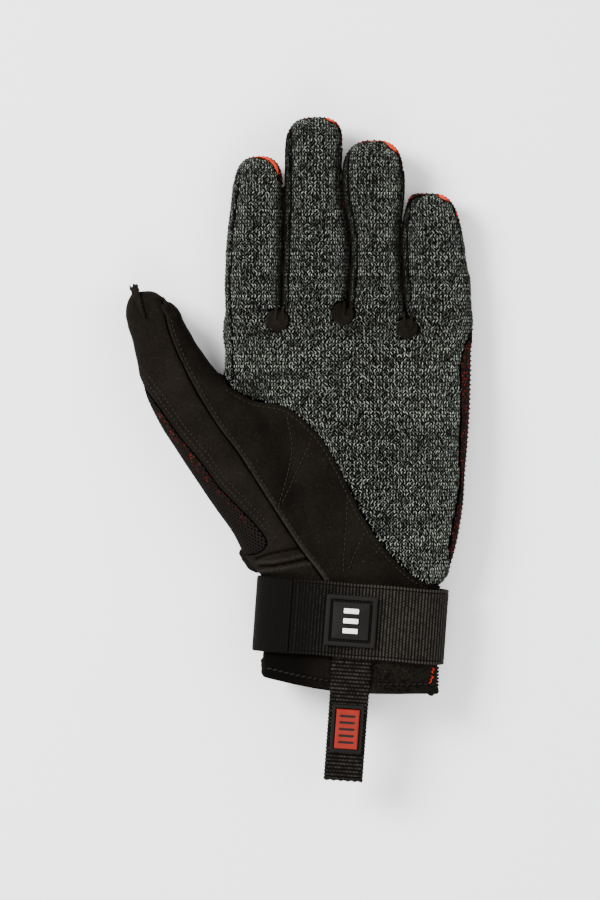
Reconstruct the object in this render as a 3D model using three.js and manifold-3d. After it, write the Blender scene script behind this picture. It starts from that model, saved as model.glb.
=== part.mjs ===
// Water ski glove for the left hand, lying on its back with the palm up.
// Lengths are millimetres. +X points to the little finger, +Y to the fingertips, +Z out of the palm.
// The origin is on the surface that the glove lies on, under the middle of the palm.
// One hollow glove is lofted first, and its panels are then cut from that wall along the seams.
import * as THREE from "three";
import { mergeVertices } from "three/addons/utils/BufferGeometryUtils.js";
import Module from "manifold-3d";

const wasm = await Module();
wasm.setup();

// Hand and wall
const HAND_WIDTH = 107;
const PALM_DEPTH = 31;
const CROTCH_ABOVE_ORIGIN = 58;
const STRAP_BELOW_ORIGIN = 73;
const WALL = 1.8;
const SEAM_GAP = 0.3;

// Fingers, each measured from the line where they part
const INDEX_LENGTH = 68.4;
const MIDDLE_LENGTH = 85.2;
const RING_LENGTH = 75.3;
const LITTLE_LENGTH = 52.5;
const FINGER_DEPTH = 18.5;
const FINGER_BED = 0.6;
const FINGER_CURL = 6;
const FINGER_CLEARANCE = 0.8;
const TIP_DOME = 13;
const SIDE_STRIP_DEPTH = 6;
const TIP_PATCH_LENGTH = 13;

// Thumb
const THUMB_SPREAD = 94.3;
const THUMB_LENGTH = 125;
const THUMB_DEPTH = 22;
const THUMB_LIFT = 5;
const TIP_FOLD_WIDTH = 3.8;
const TIP_FOLD_THICKNESS = 1.6;
const TIP_FOLD_LENGTH = 13;
const TIP_FOLD_TURN_DEG = 16;

// Wrist, strap and cuff
const WRIST_WIDTH = 75;
const WRIST_DEPTH = 25;
const WRIST_SHIFT = 2.3;
const CUFF_BELOW_STRAP = 31.5;
const STRAP_WIDTH = 32.2;
const STRAP_THICKNESS = 1.8;
const STRAP_TILT_DEG = 4.1;
const ELASTIC_REACH = 25.6;

// Size badge on the strap
const BADGE_SIDE = 21.8;
const BADGE_CORNER = 1.4;
const BADGE_BASE = 1;
const BADGE_RELIEF = 0.9;
const BADGE_RIM = 1.9;
const BADGE_GROOVE = 1.1;
const MARK_HEIGHT = 10.6;
const MARK_WIDTH = 6.4;
const MARK_RELIEF = 0.5;
const MARK_BARS = 3;

// Pull tab and its badge
const TAB_WIDTH = 16.8;
const TAB_THICKNESS = 1.4;
const TAB_TUCK = 10;
const TAB_FREE_LENGTH = 38;
const TAB_SHIFT = 1.7;
const TAB_DROOP_DEG = 12;
const TAB_BADGE_WIDTH = 13.5;
const TAB_BADGE_LENGTH = 21;
const TAB_BADGE_PAST_BEND = 14.4;
const TAB_BADGE_BASE = 0.8;
const TAB_BADGE_RIM = 1.5;
const TAB_INSERT_RELIEF = 1.6;
const TAB_INSERT_GROOVES = 5;
const TAB_INSERT_MARGIN = 1.6;
const TAB_GROOVE_WIDTH = 1;
const TAB_GROOVE_DEPTH = 0.5;

// Round black pads where the fingers part
const PAD_RADIUS = 5.2;

// Shape of a section: a softened rectangle, and how many sides it is drawn with
const SECTION_POWER = 2.4;
const DOME_POWER = 2.6;
const DOME_SHARES = [0.42, 0.7, 0.88, 0.975];
const ROOT_SHRINK = 0.8;
const PALM_STEPS = 12;
const PALM_SIDES = 24;
const FINGER_STEPS = 4;
const FINGER_SIDES = 14;
const THUMB_SIDES = 18;

// Places that follow from the sizes
const HALF_HAND = HAND_WIDTH / 2;
const CROTCH_Y = CROTCH_ABOVE_ORIGIN;
const STRAP_Y = -STRAP_BELOW_ORIGIN;
const STRAP_TOP_Y = STRAP_Y + STRAP_WIDTH / 2;
const CUFF_LINE_Y = STRAP_Y;
const CUFF_END_Y = STRAP_Y - CUFF_BELOW_STRAP;
const STRAP_CLEARANCE = TAB_THICKNESS + 2 * SEAM_GAP;
const STRAP_TILT = THREE.MathUtils.degToRad(STRAP_TILT_DEG);
const STRAP_SLANT = (WRIST_WIDTH / 2) * Math.tan(STRAP_TILT);
const WRIST_BED = STRAP_CLEARANCE + STRAP_THICKNESS;
const WRIST_LEFT = WRIST_SHIFT - WRIST_WIDTH / 2;
const WRIST_RIGHT = WRIST_SHIFT + WRIST_WIDTH / 2;
const WRIST_TOP = WRIST_BED + WRIST_DEPTH;
const TAB_BEND_V = -CUFF_BELOW_STRAP - SEAM_GAP;
const TAB_DROOP = THREE.MathUtils.degToRad(TAB_DROOP_DEG);
const FAR = 4 * HAND_WIDTH;

// Palm sections from the knuckles to just above the strap.
// along: share of the way to the finger crotches, or below the origin to the strap.
// left, right: shares of half the hand width. bottom, top: shares of the palm depth.
const PALM_SECTIONS = [
  { along: -0.69, left: -0.735, right: 0.83, bottom: 0.03, top: 0.97 },
  { along: -0.42, left: -0.765, right: 0.925, bottom: -0.02, top: 1.0 },
  { along: -0.14, left: -0.8, right: 0.962, bottom: -0.02, top: 0.99 },
  { along: 0.17, left: -0.88, right: 0.992, bottom: -0.02, top: 0.96 },
  { along: 0.48, left: -0.944, right: 1.006, bottom: -0.02, top: 0.89 },
  { along: 0.74, left: -0.964, right: 1.012, bottom: 0.0, top: 0.79 },
  { along: 0.9, left: -0.966, right: 1.014, bottom: 0.0, top: 0.685 },
  { along: 0.98, left: -0.94, right: 1.0, bottom: 0.05, top: 0.6 },
  { along: 1.035, left: -0.86, right: 0.94, bottom: 0.14, top: 0.5 },
];

// Finger edges. reach: share of the middle finger, from the crotch line to its tip.
// The other columns are shares of half the hand width, and neighbours share a crease.
const FINGER_EDGES = [
  { reach: -0.17, outer: -0.955, index: -0.512, middle: 0.02, ring: 0.497, little: 1.0 },
  { reach: 0.08, outer: -0.972, index: -0.511, middle: 0.024, ring: 0.476, little: 1.026 },
  { reach: 0.26, outer: -0.97, index: -0.502, middle: 0.044, ring: 0.455, little: 0.99 },
  { reach: 0.44, outer: -0.95, index: -0.494, middle: 0.03, ring: 0.452, little: 0.946 },
  { reach: 0.61, outer: -0.918, index: -0.49, middle: -0.02, ring: 0.484, little: 0.9 },
  { reach: 0.79, outer: -0.89, index: -0.488, middle: -0.02, ring: 0.474, little: 0.9 },
  { reach: 1.0, outer: -0.88, index: -0.484, middle: 0.02, ring: 0.46, little: 0.9 },
];

const FINGERS = [
  { name: "index", left: "outer", right: "index", length: INDEX_LENGTH },
  { name: "middle", left: "index", right: "middle", length: MIDDLE_LENGTH },
  { name: "ring", left: "middle", right: "ring", length: RING_LENGTH },
  { name: "little", left: "ring", right: "little", length: LITTLE_LENGTH },
];

// Thumb sections from the strap to the tip, each across from its outer edge to its inner edge.
// outer_x, inner_x: shares of the thumb spread. outer_y, inner_y: shares of the thumb length.
// lift: share of the thumb lift. depth: share of the thumb depth.
const THUMB_SECTIONS = [
  { outer_x: 0.38, outer_y: 0.045, inner_x: 0.1, inner_y: 0.045, lift: 0.85, depth: 1.04 },
  { outer_x: 0.45, outer_y: 0.085, inner_x: 0.12, inner_y: 0.1, lift: 0.2, depth: 1.36 },
  { outer_x: 0.507, outer_y: 0.165, inner_x: 0.15, inner_y: 0.19, lift: 0.0, depth: 1.5 },
  { outer_x: 0.589, outer_y: 0.253, inner_x: 0.19, inner_y: 0.3, lift: -0.1, depth: 1.61 },
  { outer_x: 0.676, outer_y: 0.35, inner_x: 0.24, inner_y: 0.415, lift: -0.1, depth: 1.64 },
  { outer_x: 0.774, outer_y: 0.462, inner_x: 0.3, inner_y: 0.52, lift: 0.0, depth: 1.6 },
  { outer_x: 0.864, outer_y: 0.574, inner_x: 0.4, inner_y: 0.605, lift: 0.2, depth: 1.5 },
  { outer_x: 0.92, outer_y: 0.678, inner_x: 0.54, inner_y: 0.695, lift: 0.5, depth: 1.34 },
  { outer_x: 0.945, outer_y: 0.75, inner_x: 0.632, inner_y: 0.772, lift: 0.7, depth: 1.2 },
  { outer_x: 0.97, outer_y: 0.84, inner_x: 0.703, inner_y: 0.855, lift: 0.9, depth: 1.09 },
  { outer_x: 0.989, outer_y: 0.886, inner_x: 0.757, inner_y: 0.925, lift: 1.0, depth: 1.02 },
  { outer_x: 1.0, outer_y: 0.93, inner_x: 0.808, inner_y: 0.962, lift: 1.1, depth: 0.95 },
  { outer_x: 0.982, outer_y: 0.978, inner_x: 0.85, inner_y: 0.992, lift: 1.5, depth: 0.76 },
  { outer_x: 0.955, outer_y: 1.0, inner_x: 0.89, inner_y: 1.003, lift: 2.1, depth: 0.46 },
];

// Seams seen from above. across: share of half the hand width.
// along: share of the way to the crotches, or below the origin to the strap.
const PALM_SEAM = [
  { across: -0.94, along: 0.474 },
  { across: -0.74, along: 0.37 },
  { across: -0.475, along: 0.32 },
  { across: -0.24, along: 0.14 },
  { across: -0.13, along: 0.006 },
  { across: 0.04, along: -0.235 },
  { across: 0.13, along: -0.372 },
  { across: 0.36, along: -0.612 },
  { across: 0.62, along: -0.771 },
  { across: 0.88, along: -0.81 },
];
const LITTLE_SIDE_SEAM = [
  { across: 0.88, along: -0.81 },
  { across: 0.81, along: -0.6 },
  { across: 0.836, along: -0.44 },
  { across: 0.892, along: -0.177 },
  { across: 0.925, along: 0.22 },
  { across: 0.94, along: 0.7 },
  { across: 1.06, along: 0.95 },
];
const THUMB_SEAM = [
  { across: -1.5, along: 1.25 },
  { across: -1.463, along: 1.096 },
  { across: -1.398, along: 0.845 },
  { across: -1.23, along: 0.503 },
  { across: -1.013, along: 0.17 },
  { across: -0.86, along: -0.012 },
  { across: -0.66, along: -0.241 },
  { across: -0.353, along: -0.584 },
  { across: -0.185, along: -0.748 },
  { across: -0.1, along: -0.86 },
];
// Cleft between the thumb and the index finger
const CLEFT_LINE = [
  { across: -1.4, along: 3.5 },
  { across: -1.3, along: 1.35 },
  { across: -1.08, along: 0.86 },
  { across: -0.98, along: 0.56 },
];
const MESH_BORDER = [
  { across: -1.75, along: 0.62 },
  { across: -1.62, along: 0.475 },
  { across: -1.457, along: 0.27 },
  { across: -1.33, along: 0.105 },
  { across: -1.153, along: -0.071 },
  { across: -1.029, along: -0.2 },
  { across: -0.86, along: -0.33 },
  { across: -0.675, along: -0.477 },
  { across: -0.625, along: -0.55 },
  { across: -0.7, along: -0.605 },
  { across: -1.2, along: -0.6 },
];

// Seam between the front and the back of the hand: its height in shares of the palm depth
const HAND_SEAM_HEIGHTS = [
  { along: -2, height: 0.53 },
  { along: -0.6, height: 0.5 },
  { along: 0, height: 0.475 },
  { along: 0.5, height: 0.44 },
  { along: 0.75, height: 0.39 },
  { along: 1, height: 0.33 },
];
const THUMB_SEAM_HEIGHTS = [
  { along: -2, height: 0.53 },
  { along: -0.6, height: 0.5 },
  { along: 0, height: 0.5 },
  { along: 0.5, height: 0.51 },
  { along: 1.6, height: 0.56 },
];

// End of the cuff. across: share of half the wrist. rise: shares of the strap width.
const CUFF_HEM = [
  { across: -1.3, rise: 0.27 },
  { across: -1.0, rise: 0.215 },
  { across: -0.54, rise: 0.1 },
  { across: -0.2, rise: 0.04 },
  { across: 0.3, rise: 0.0 },
  { across: 0.85, rise: -0.005 },
  { across: 1.3, rise: -0.04 },
];

// Pads between the fingers: across is a share of half the hand, below a share of the pad radius
const WEB_PADS = [
  { name: "index_middle", across: -0.546, below: 0.48 },
  { name: "middle_ring", across: -0.017, below: -0.1 },
  { name: "ring_little", across: 0.499, below: 1.15 },
];

// Finishes
const KNIT = new THREE.MeshStandardMaterial({ color: 0x45463f, roughness: 0.95, metalness: 0 });
const SUEDE = new THREE.MeshStandardMaterial({ color: 0x1c1814, roughness: 0.9, metalness: 0 });
const MESH_CLOTH = new THREE.MeshStandardMaterial({ color: 0x1a1714, roughness: 0.92, metalness: 0 });
const ORANGE_CLOTH = new THREE.MeshStandardMaterial({ color: 0xd8462a, roughness: 0.85, metalness: 0 });
const WEBBING = new THREE.MeshStandardMaterial({ color: 0x2b2824, roughness: 0.85, metalness: 0 });
const RUBBER = new THREE.MeshStandardMaterial({ color: 0x262321, roughness: 0.6, metalness: 0 });
const WHITE_RUBBER = new THREE.MeshStandardMaterial({ color: 0xe6e3db, roughness: 0.5, metalness: 0 });
const ORANGE_RUBBER = new THREE.MeshStandardMaterial({ color: 0xd3452c, roughness: 0.5, metalness: 0 });

// Solids

function solidFrom(geometry) {
  const plain = geometry.clone();
  plain.deleteAttribute("normal");
  plain.deleteAttribute("uv");
  const merged = mergeVertices(plain, 1e-4);
  const mesh = new wasm.Mesh({
    numProp: 3,
    vertProperties: new Float32Array(merged.attributes.position.array),
    triVerts: new Uint32Array(merged.index.array),
  });
  return new wasm.Manifold(mesh);
}

function geometryFrom(solid) {
  const mesh = solid.getMesh();
  const geometry = new THREE.BufferGeometry();
  geometry.setAttribute("position", new THREE.BufferAttribute(mesh.vertProperties, 3));
  geometry.setIndex(new THREE.BufferAttribute(mesh.triVerts, 1));
  geometry.computeVertexNormals();
  return geometry;
}

function joined(solids) {
  return solids.reduce((whole, solid) => whole.add(solid));
}

// The largest connected body of a cut, without the crumbs that a cut may leave
function mainBody(solid) {
  const bodies = solid.decompose();
  return bodies.reduce((largest, body) => (body.volume() > largest.volume() ? body : largest));
}

// Rings run round from +X to +Z and follow one another along +Y
function loft(rings) {
  const sides = rings[0].length;
  const points = rings.flat();
  const index = [];
  for (let ring = 0; ring + 1 < rings.length; ring += 1) {
    for (let side = 0; side < sides; side += 1) {
      const here = ring * sides + side;
      const next = ring * sides + ((side + 1) % sides);
      index.push(here, here + sides, next);
      index.push(next, here + sides, next + sides);
    }
  }
  const first = points.length;
  const last = first + 1;
  const end = (rings.length - 1) * sides;
  points.push(middleOf(rings[0]), middleOf(rings[rings.length - 1]));
  for (let side = 0; side < sides; side += 1) {
    const next = (side + 1) % sides;
    index.push(first, side, next);
    index.push(last, end + next, end + side);
  }
  const geometry = new THREE.BufferGeometry().setFromPoints(points);
  geometry.setIndex(index);
  return solidFrom(geometry);
}

function middleOf(ring) {
  const sum = ring.reduce((total, point) => total.add(point), new THREE.Vector3());
  return sum.divideScalar(ring.length);
}

function softened(value) {
  return Math.sign(value) * Math.abs(value) ** (2 / SECTION_POWER);
}

// One section between two edge points, with its bottom and top heights
function sectionRing(outer, inner, bottom, top, sides) {
  const centre = outer.clone().add(inner).multiplyScalar(0.5);
  const half = inner.clone().sub(outer).multiplyScalar(0.5);
  const ring = [];
  for (let side = 0; side < sides; side += 1) {
    const angle = (2 * Math.PI * side) / sides;
    const across = softened(Math.cos(angle));
    const up = softened(Math.sin(angle));
    const point = new THREE.Vector3(centre.x + half.x * across, centre.y + half.y * across, 0);
    point.z = (bottom + top) / 2 + ((top - bottom) / 2) * up;
    ring.push(point);
  }
  return ring;
}

// A value of a table's column at a place, on a smooth curve through its rows
function readTable(rows, placeKey, valueKey, place) {
  const last = rows.length - 1;
  if (place <= rows[0][placeKey]) return rows[0][valueKey];
  if (place >= rows[last][placeKey]) return rows[last][valueKey];
  const row = rows.findIndex((entry) => entry[placeKey] > place) - 1;
  const slopeAt = (number) => {
    const before = rows[Math.max(number - 1, 0)];
    const after = rows[Math.min(number + 1, last)];
    return (after[valueKey] - before[valueKey]) / (after[placeKey] - before[placeKey]);
  };
  const span = rows[row + 1][placeKey] - rows[row][placeKey];
  const share = (place - rows[row][placeKey]) / span;
  const rise = share * share * (3 - 2 * share);
  const start = rows[row][valueKey] + slopeAt(row) * share * span;
  const end = rows[row + 1][valueKey] - slopeAt(row + 1) * (1 - share) * span;
  return start * (1 - rise) + end * rise;
}

function handY(along) {
  return along * (along > 0 ? CROTCH_ABOVE_ORIGIN : STRAP_BELOW_ORIGIN);
}

function block(centre, size) {
  const box = new THREE.BoxGeometry(size.x, size.y, size.z);
  box.translate(centre.x, centre.y, centre.z);
  return solidFrom(box);
}

// A vertical prism over an outline seen from above
function prism(outline) {
  const shape = new THREE.Shape(outline);
  const geometry = new THREE.ExtrudeGeometry(shape, { depth: FAR, bevelEnabled: false });
  geometry.translate(0, 0, -FAR / 2);
  return solidFrom(geometry);
}

// Everything between two heights, each a line over Y, from one X to another
function layer(lower, upper, fromX, toX) {
  const shape = new THREE.Shape([...lower, ...upper.slice().reverse()]);
  const geometry = new THREE.ExtrudeGeometry(shape, { depth: toX - fromX, bevelEnabled: false });
  const turn = new THREE.Matrix4().makeBasis(
    new THREE.Vector3(0, 1, 0),
    new THREE.Vector3(0, 0, 1),
    new THREE.Vector3(1, 0, 0),
  );
  geometry.applyMatrix4(turn);
  geometry.translate(fromX, 0, 0);
  return solidFrom(geometry);
}

// Hollow glove

// A section of the wrist, square to the tilted strap
function wristRing(y, inset) {
  const outer = new THREE.Vector2(WRIST_LEFT + inset, y + STRAP_SLANT);
  const inner = new THREE.Vector2(WRIST_RIGHT - inset, y - STRAP_SLANT);
  return sectionRing(outer, inner, WRIST_BED + inset, WRIST_TOP - inset, PALM_SIDES);
}

function palmTube(inset) {
  const wristEnds = [CUFF_END_Y - STRAP_WIDTH / 2, STRAP_TOP_Y + SEAM_GAP];
  const rings = wristEnds.map((y) => wristRing(y, inset));
  const from = PALM_SECTIONS[0].along;
  const to = PALM_SECTIONS[PALM_SECTIONS.length - 1].along;
  for (let step = 0; step <= PALM_STEPS; step += 1) {
    const along = from + ((to - from) * step) / PALM_STEPS;
    const read = (key) => readTable(PALM_SECTIONS, "along", key, along);
    const y = handY(along) - (step === PALM_STEPS ? inset : 0);
    const left = read("left") * HALF_HAND;
    const right = read("right") * HALF_HAND;
    const bottom = read("bottom") * PALM_DEPTH;
    const top = read("top") * PALM_DEPTH;
    const slant = STRAP_SLANT * Math.max(1 - (4 * step) / PALM_STEPS, 0);
    const outer = new THREE.Vector2(left + inset, y + slant);
    const inner = new THREE.Vector2(right - inset, y - slant);
    rings.push(sectionRing(outer, inner, bottom + inset, top - inset, PALM_SIDES));
  }
  return loft(rings);
}

function reachOf(y) {
  return (y - CROTCH_Y) / MIDDLE_LENGTH;
}

function edgeX(column, y) {
  return readTable(FINGER_EDGES, "reach", column, reachOf(y)) * HALF_HAND;
}

function fingerMiddleX(finger, y) {
  return (edgeX(finger.left, y) + edgeX(finger.right, y)) / 2;
}

function fingerMidHeight(y) {
  const reach = Math.max(reachOf(y), 0);
  return FINGER_BED + FINGER_DEPTH / 2 + FINGER_CURL * reach * reach;
}

function tipOf(finger) {
  return CROTCH_Y + finger.length;
}

function fingerTube(finger, inset) {
  const rootY = handY(0.75);
  const domeStart = tipOf(finger) - TIP_DOME;
  const rows = [{ y: rootY, swell: ROOT_SHRINK }];
  for (let step = 1; step <= FINGER_STEPS; step += 1) {
    rows.push({ y: rootY + ((domeStart - rootY) * step) / FINGER_STEPS, swell: 1 });
  }
  for (const share of DOME_SHARES) {
    const swell = (1 - share ** DOME_POWER) ** (1 / DOME_POWER);
    rows.push({ y: domeStart + share * (TIP_DOME - inset), swell });
  }
  const rings = rows.map(({ y, swell }) => {
    const left = edgeX(finger.left, y) + FINGER_CLEARANCE / 2;
    const right = edgeX(finger.right, y) - FINGER_CLEARANCE / 2;
    const middle = (left + right) / 2;
    const halfWidth = ((right - left) / 2 - inset) * swell;
    const halfDepth = (FINGER_DEPTH / 2 - inset) * swell;
    const height = fingerMidHeight(y);
    const outer = new THREE.Vector2(middle - halfWidth, y);
    const inner = new THREE.Vector2(middle + halfWidth, y);
    return sectionRing(outer, inner, height - halfDepth, height + halfDepth, FINGER_SIDES);
  });
  return loft(rings);
}

function thumbTube(inset) {
  const rootY = STRAP_TOP_Y;
  const rings = [];
  for (const row of THUMB_SECTIONS) {
    const outer = new THREE.Vector2(-row.outer_x * THUMB_SPREAD, rootY + row.outer_y * THUMB_LENGTH);
    const inner = new THREE.Vector2(-row.inner_x * THUMB_SPREAD, rootY + row.inner_y * THUMB_LENGTH);
    const across = inner.clone().sub(outer);
    const bottom = row.lift * THUMB_LIFT + inset;
    const top = row.lift * THUMB_LIFT + row.depth * THUMB_DEPTH - inset;
    const reach = across.length();
    if (reach < 4 * inset) continue;
    across.setLength(inset);
    rings.push(sectionRing(outer.add(across), inner.sub(across), bottom, top, THUMB_SIDES));
  }
  if (inset < 0) {
    const tip = rings[rings.length - 1];
    const middle = middleOf(tip);
    rings.push(tip.map((point) => middle.clone().lerp(point, 0.5).add(new THREE.Vector3(0, -inset, 0))));
  }
  return loft(rings);
}

function above(height) {
  return block(new THREE.Vector3(0, 0, height + FAR / 2), new THREE.Vector3(FAR, FAR, FAR));
}

function gloveBody(inset, floor) {
  const tubes = [palmTube(inset), thumbTube(inset)];
  for (const finger of FINGERS) {
    tubes.push(fingerTube(finger, inset));
  }
  return joined(tubes).intersect(above(floor));
}

// Seams

function seamPoints(rows, shift) {
  const controls = rows.map(({ across, along }) => new THREE.Vector3(across * HALF_HAND, handY(along), 0));
  const curve = new THREE.CatmullRomCurve3(controls, false, "centripetal");
  const count = 2 * (rows.length - 1);
  const points = [];
  for (let step = 0; step <= count; step += 1) {
    const point = curve.getPoint(step / count);
    const heading = curve.getTangent(step / count);
    points.push(new THREE.Vector2(point.x - heading.y * shift, point.y + heading.x * shift));
  }
  return points;
}

// Height of the seam between front and back, as a line over Y
function seamLine(rows, shift, withFingers) {
  const line = rows.map(({ along, height }) => new THREE.Vector2(handY(along), height * PALM_DEPTH + shift));
  if (withFingers) {
    line.pop();
    const steps = 8;
    for (let step = 0; step <= steps; step += 1) {
      const y = CROTCH_Y + (MIDDLE_LENGTH * step) / steps;
      line.push(new THREE.Vector2(y, fingerMidHeight(y) + shift));
    }
  }
  line.push(new THREE.Vector2(FAR, line[line.length - 1].y));
  return line;
}

function frontOf(rows, shift, withFingers) {
  const lower = seamLine(rows, shift, withFingers);
  const upper = lower.map(({ x }) => new THREE.Vector2(x, FAR));
  return layer(lower, upper, -FAR, FAR);
}

// Outlines of the front panels seen from above. slack shrinks them when it is above zero.

function cleftPoints(slack) {
  return CLEFT_LINE.map(({ across, along }) => new THREE.Vector2(across * HALF_HAND + slack, handY(along)));
}

function knitOutline(slack) {
  const palm = seamPoints(PALM_SEAM, slack);
  const side = seamPoints(LITTLE_SIDE_SEAM, slack);
  const cleft = cleftPoints(slack);
  return [
    ...palm,
    ...side.slice(1),
    new THREE.Vector2(HAND_WIDTH, CROTCH_Y + slack),
    new THREE.Vector2(HAND_WIDTH, cleft[0].y),
    ...cleft,
  ];
}

function thenarOutline(slack) {
  const palm = seamPoints(PALM_SEAM, -slack);
  const thumb = seamPoints(THUMB_SEAM, slack);
  const bottom = CUFF_LINE_Y + slack;
  return [
    ...thumb.slice().reverse(),
    ...cleftPoints(-slack).slice(1),
    ...palm,
    new THREE.Vector2(WRIST_RIGHT + WALL, palm[palm.length - 1].y),
    new THREE.Vector2(WRIST_RIGHT + WALL, bottom),
    new THREE.Vector2(thumb[thumb.length - 1].x, bottom),
  ];
}

function thumbOuterOutline(slack) {
  const thumb = seamPoints(THUMB_SEAM, -slack);
  const border = seamPoints(MESH_BORDER, slack);
  const bottom = CUFF_LINE_Y + slack;
  return [
    ...border,
    new THREE.Vector2(-THUMB_SPREAD, border[border.length - 1].y),
    new THREE.Vector2(-THUMB_SPREAD, bottom),
    new THREE.Vector2(thumb[thumb.length - 1].x, bottom),
    ...thumb.slice().reverse(),
    new THREE.Vector2(thumb[0].x, FAR / 2),
    new THREE.Vector2(-FAR / 2, FAR / 2),
    new THREE.Vector2(-FAR / 2, border[0].y),
  ];
}

function meshGussetOutline(slack) {
  const border = seamPoints(MESH_BORDER, -slack);
  return [
    ...border.slice().reverse(),
    new THREE.Vector2(-FAR / 2, border[0].y),
    new THREE.Vector2(-FAR / 2, border[border.length - 1].y),
  ];
}

function cuffOutline(slack) {
  const top = CUFF_LINE_Y - slack;
  return [
    new THREE.Vector2(-FAR / 2, -FAR / 2),
    new THREE.Vector2(FAR / 2, -FAR / 2),
    new THREE.Vector2(FAR / 2, top),
    new THREE.Vector2(-FAR / 2, top),
  ];
}

// Strip between two neighbouring fingers: both facing side walls and the end wall that joins them
function sideStrip(left, right, slack) {
  const halfDepth = SIDE_STRIP_DEPTH / 2 - slack;
  const column = left.right;
  const start = handY(0.9) + slack;
  const crease = edgeX(column, CROTCH_Y);
  const halves = [
    { finger: left, from: fingerMiddleX(left, CROTCH_Y) + slack, to: crease },
    { finger: right, from: crease, to: fingerMiddleX(right, CROTCH_Y) - slack },
  ];
  const parts = halves.map(({ finger, from, to }) => {
    const end = tipOf(finger) - TIP_DOME / 2 - slack;
    const steps = 4;
    const lower = [];
    const upper = [];
    for (let step = 0; step <= steps; step += 1) {
      const y = start + ((end - start) * step) / steps;
      const height = fingerMidHeight(y);
      lower.push(new THREE.Vector2(y, height - halfDepth));
      upper.push(new THREE.Vector2(y, height + halfDepth));
    }
    return layer(lower, upper, from, to);
  });
  return joined(parts);
}

function tipPatch(finger, slack) {
  const tip = tipOf(finger);
  const start = tip - TIP_PATCH_LENGTH + slack;
  const lower = [new THREE.Vector2(start, -FAR), new THREE.Vector2(FAR, -FAR)];
  const steps = 4;
  const upper = [new THREE.Vector2(start, fingerMidHeight(start) - slack)];
  for (let step = 1; step <= steps; step += 1) {
    const y = start + ((tip - start) * step) / steps;
    upper.push(new THREE.Vector2(y, fingerMidHeight(y) - slack));
  }
  upper.push(new THREE.Vector2(FAR, upper[upper.length - 1].y));
  const halfWidth = (edgeX(finger.right, start) - edgeX(finger.left, start)) / 2;
  const middle = fingerMiddleX(finger, start);
  return layer(lower, upper, middle - halfWidth, middle + halfWidth);
}

function webPad(pad, slack) {
  const radius = PAD_RADIUS - slack;
  const disc = new THREE.CylinderGeometry(radius, radius, FAR, 20);
  disc.rotateX(Math.PI / 2);
  disc.translate(pad.across * HALF_HAND, CROTCH_Y - pad.below * PAD_RADIUS, 0);
  const upperHalf = above(fingerMidHeight(CROTCH_Y) + SIDE_STRIP_DEPTH / 2 + slack);
  return solidFrom(disc).intersect(upperHalf);
}

// Strap, badges and tab are placed in the frame of the tilted strap: its middle is their origin
function onStrap(mesh) {
  const holder = new THREE.Group();
  holder.position.set(WRIST_SHIFT, STRAP_Y, 0);
  holder.rotation.z = -STRAP_TILT;
  holder.add(mesh);
  return holder;
}

function strapRing() {
  const ends = [STRAP_Y - STRAP_WIDTH, STRAP_Y + STRAP_WIDTH];
  const tubeAt = (offset) => loft(ends.map((y) => wristRing(y, -offset)));
  const ring = tubeAt(STRAP_CLEARANCE + STRAP_THICKNESS).subtract(tubeAt(STRAP_CLEARANCE));
  const band = strapFrameBox(0, 0, FAR, STRAP_WIDTH);
  return ring.intersect(band);
}

// A tall box given by its middle and size in the frame of the strap
function strapFrameBox(u, v, width, height) {
  const box = new THREE.BoxGeometry(width, height, FAR);
  box.translate(u, v, 0);
  box.rotateZ(-STRAP_TILT);
  box.translate(WRIST_SHIFT, STRAP_Y, 0);
  return solidFrom(box);
}

function roundedPlate(width, height, corner, thickness) {
  const shape = new THREE.Shape();
  const halfWidth = width / 2;
  const halfHeight = height / 2;
  shape.moveTo(halfWidth, halfHeight - corner);
  shape.absarc(halfWidth - corner, halfHeight - corner, corner, 0, Math.PI / 2);
  shape.absarc(corner - halfWidth, halfHeight - corner, corner, Math.PI / 2, Math.PI);
  shape.absarc(corner - halfWidth, corner - halfHeight, corner, Math.PI, 1.5 * Math.PI);
  shape.absarc(halfWidth - corner, corner - halfHeight, corner, 1.5 * Math.PI, 2 * Math.PI);
  const options = { depth: thickness, bevelEnabled: false, curveSegments: 2 };
  return new THREE.ExtrudeGeometry(shape, options);
}

function raisedFrame(width, height, corner, rim, base, relief) {
  const plate = solidFrom(roundedPlate(width, height, corner, base + relief));
  const pocket = roundedPlate(width - 2 * rim, height - 2 * rim, corner / 2, 2 * relief);
  pocket.translate(0, 0, base);
  return plate.subtract(solidFrom(pocket));
}

function sizeBadge() {
  const frame = raisedFrame(BADGE_SIDE, BADGE_SIDE, BADGE_CORNER, BADGE_RIM, BADGE_BASE, BADGE_RELIEF);
  const side = BADGE_SIDE - 2 * (BADGE_RIM + BADGE_GROOVE);
  const centre = roundedPlate(side, side, BADGE_CORNER / 2, BADGE_BASE + BADGE_RELIEF);
  return frame.add(solidFrom(centre));
}

// The tab runs level over the cuff and droops past its hem
function tabRibbon() {
  const start = -STRAP_WIDTH / 2 + TAB_TUCK;
  const endV = TAB_BEND_V - TAB_FREE_LENGTH * Math.cos(TAB_DROOP);
  const drop = TAB_FREE_LENGTH * Math.sin(TAB_DROOP);
  const low = WRIST_TOP + SEAM_GAP;
  const bottom = [
    new THREE.Vector2(endV, low - drop),
    new THREE.Vector2(TAB_BEND_V, low),
    new THREE.Vector2(start, low),
  ];
  const top = bottom.map(({ x, y }) => new THREE.Vector2(x, y + TAB_THICKNESS));
  return layer(bottom, top, TAB_SHIFT - TAB_WIDTH / 2, TAB_SHIFT + TAB_WIDTH / 2);
}

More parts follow.
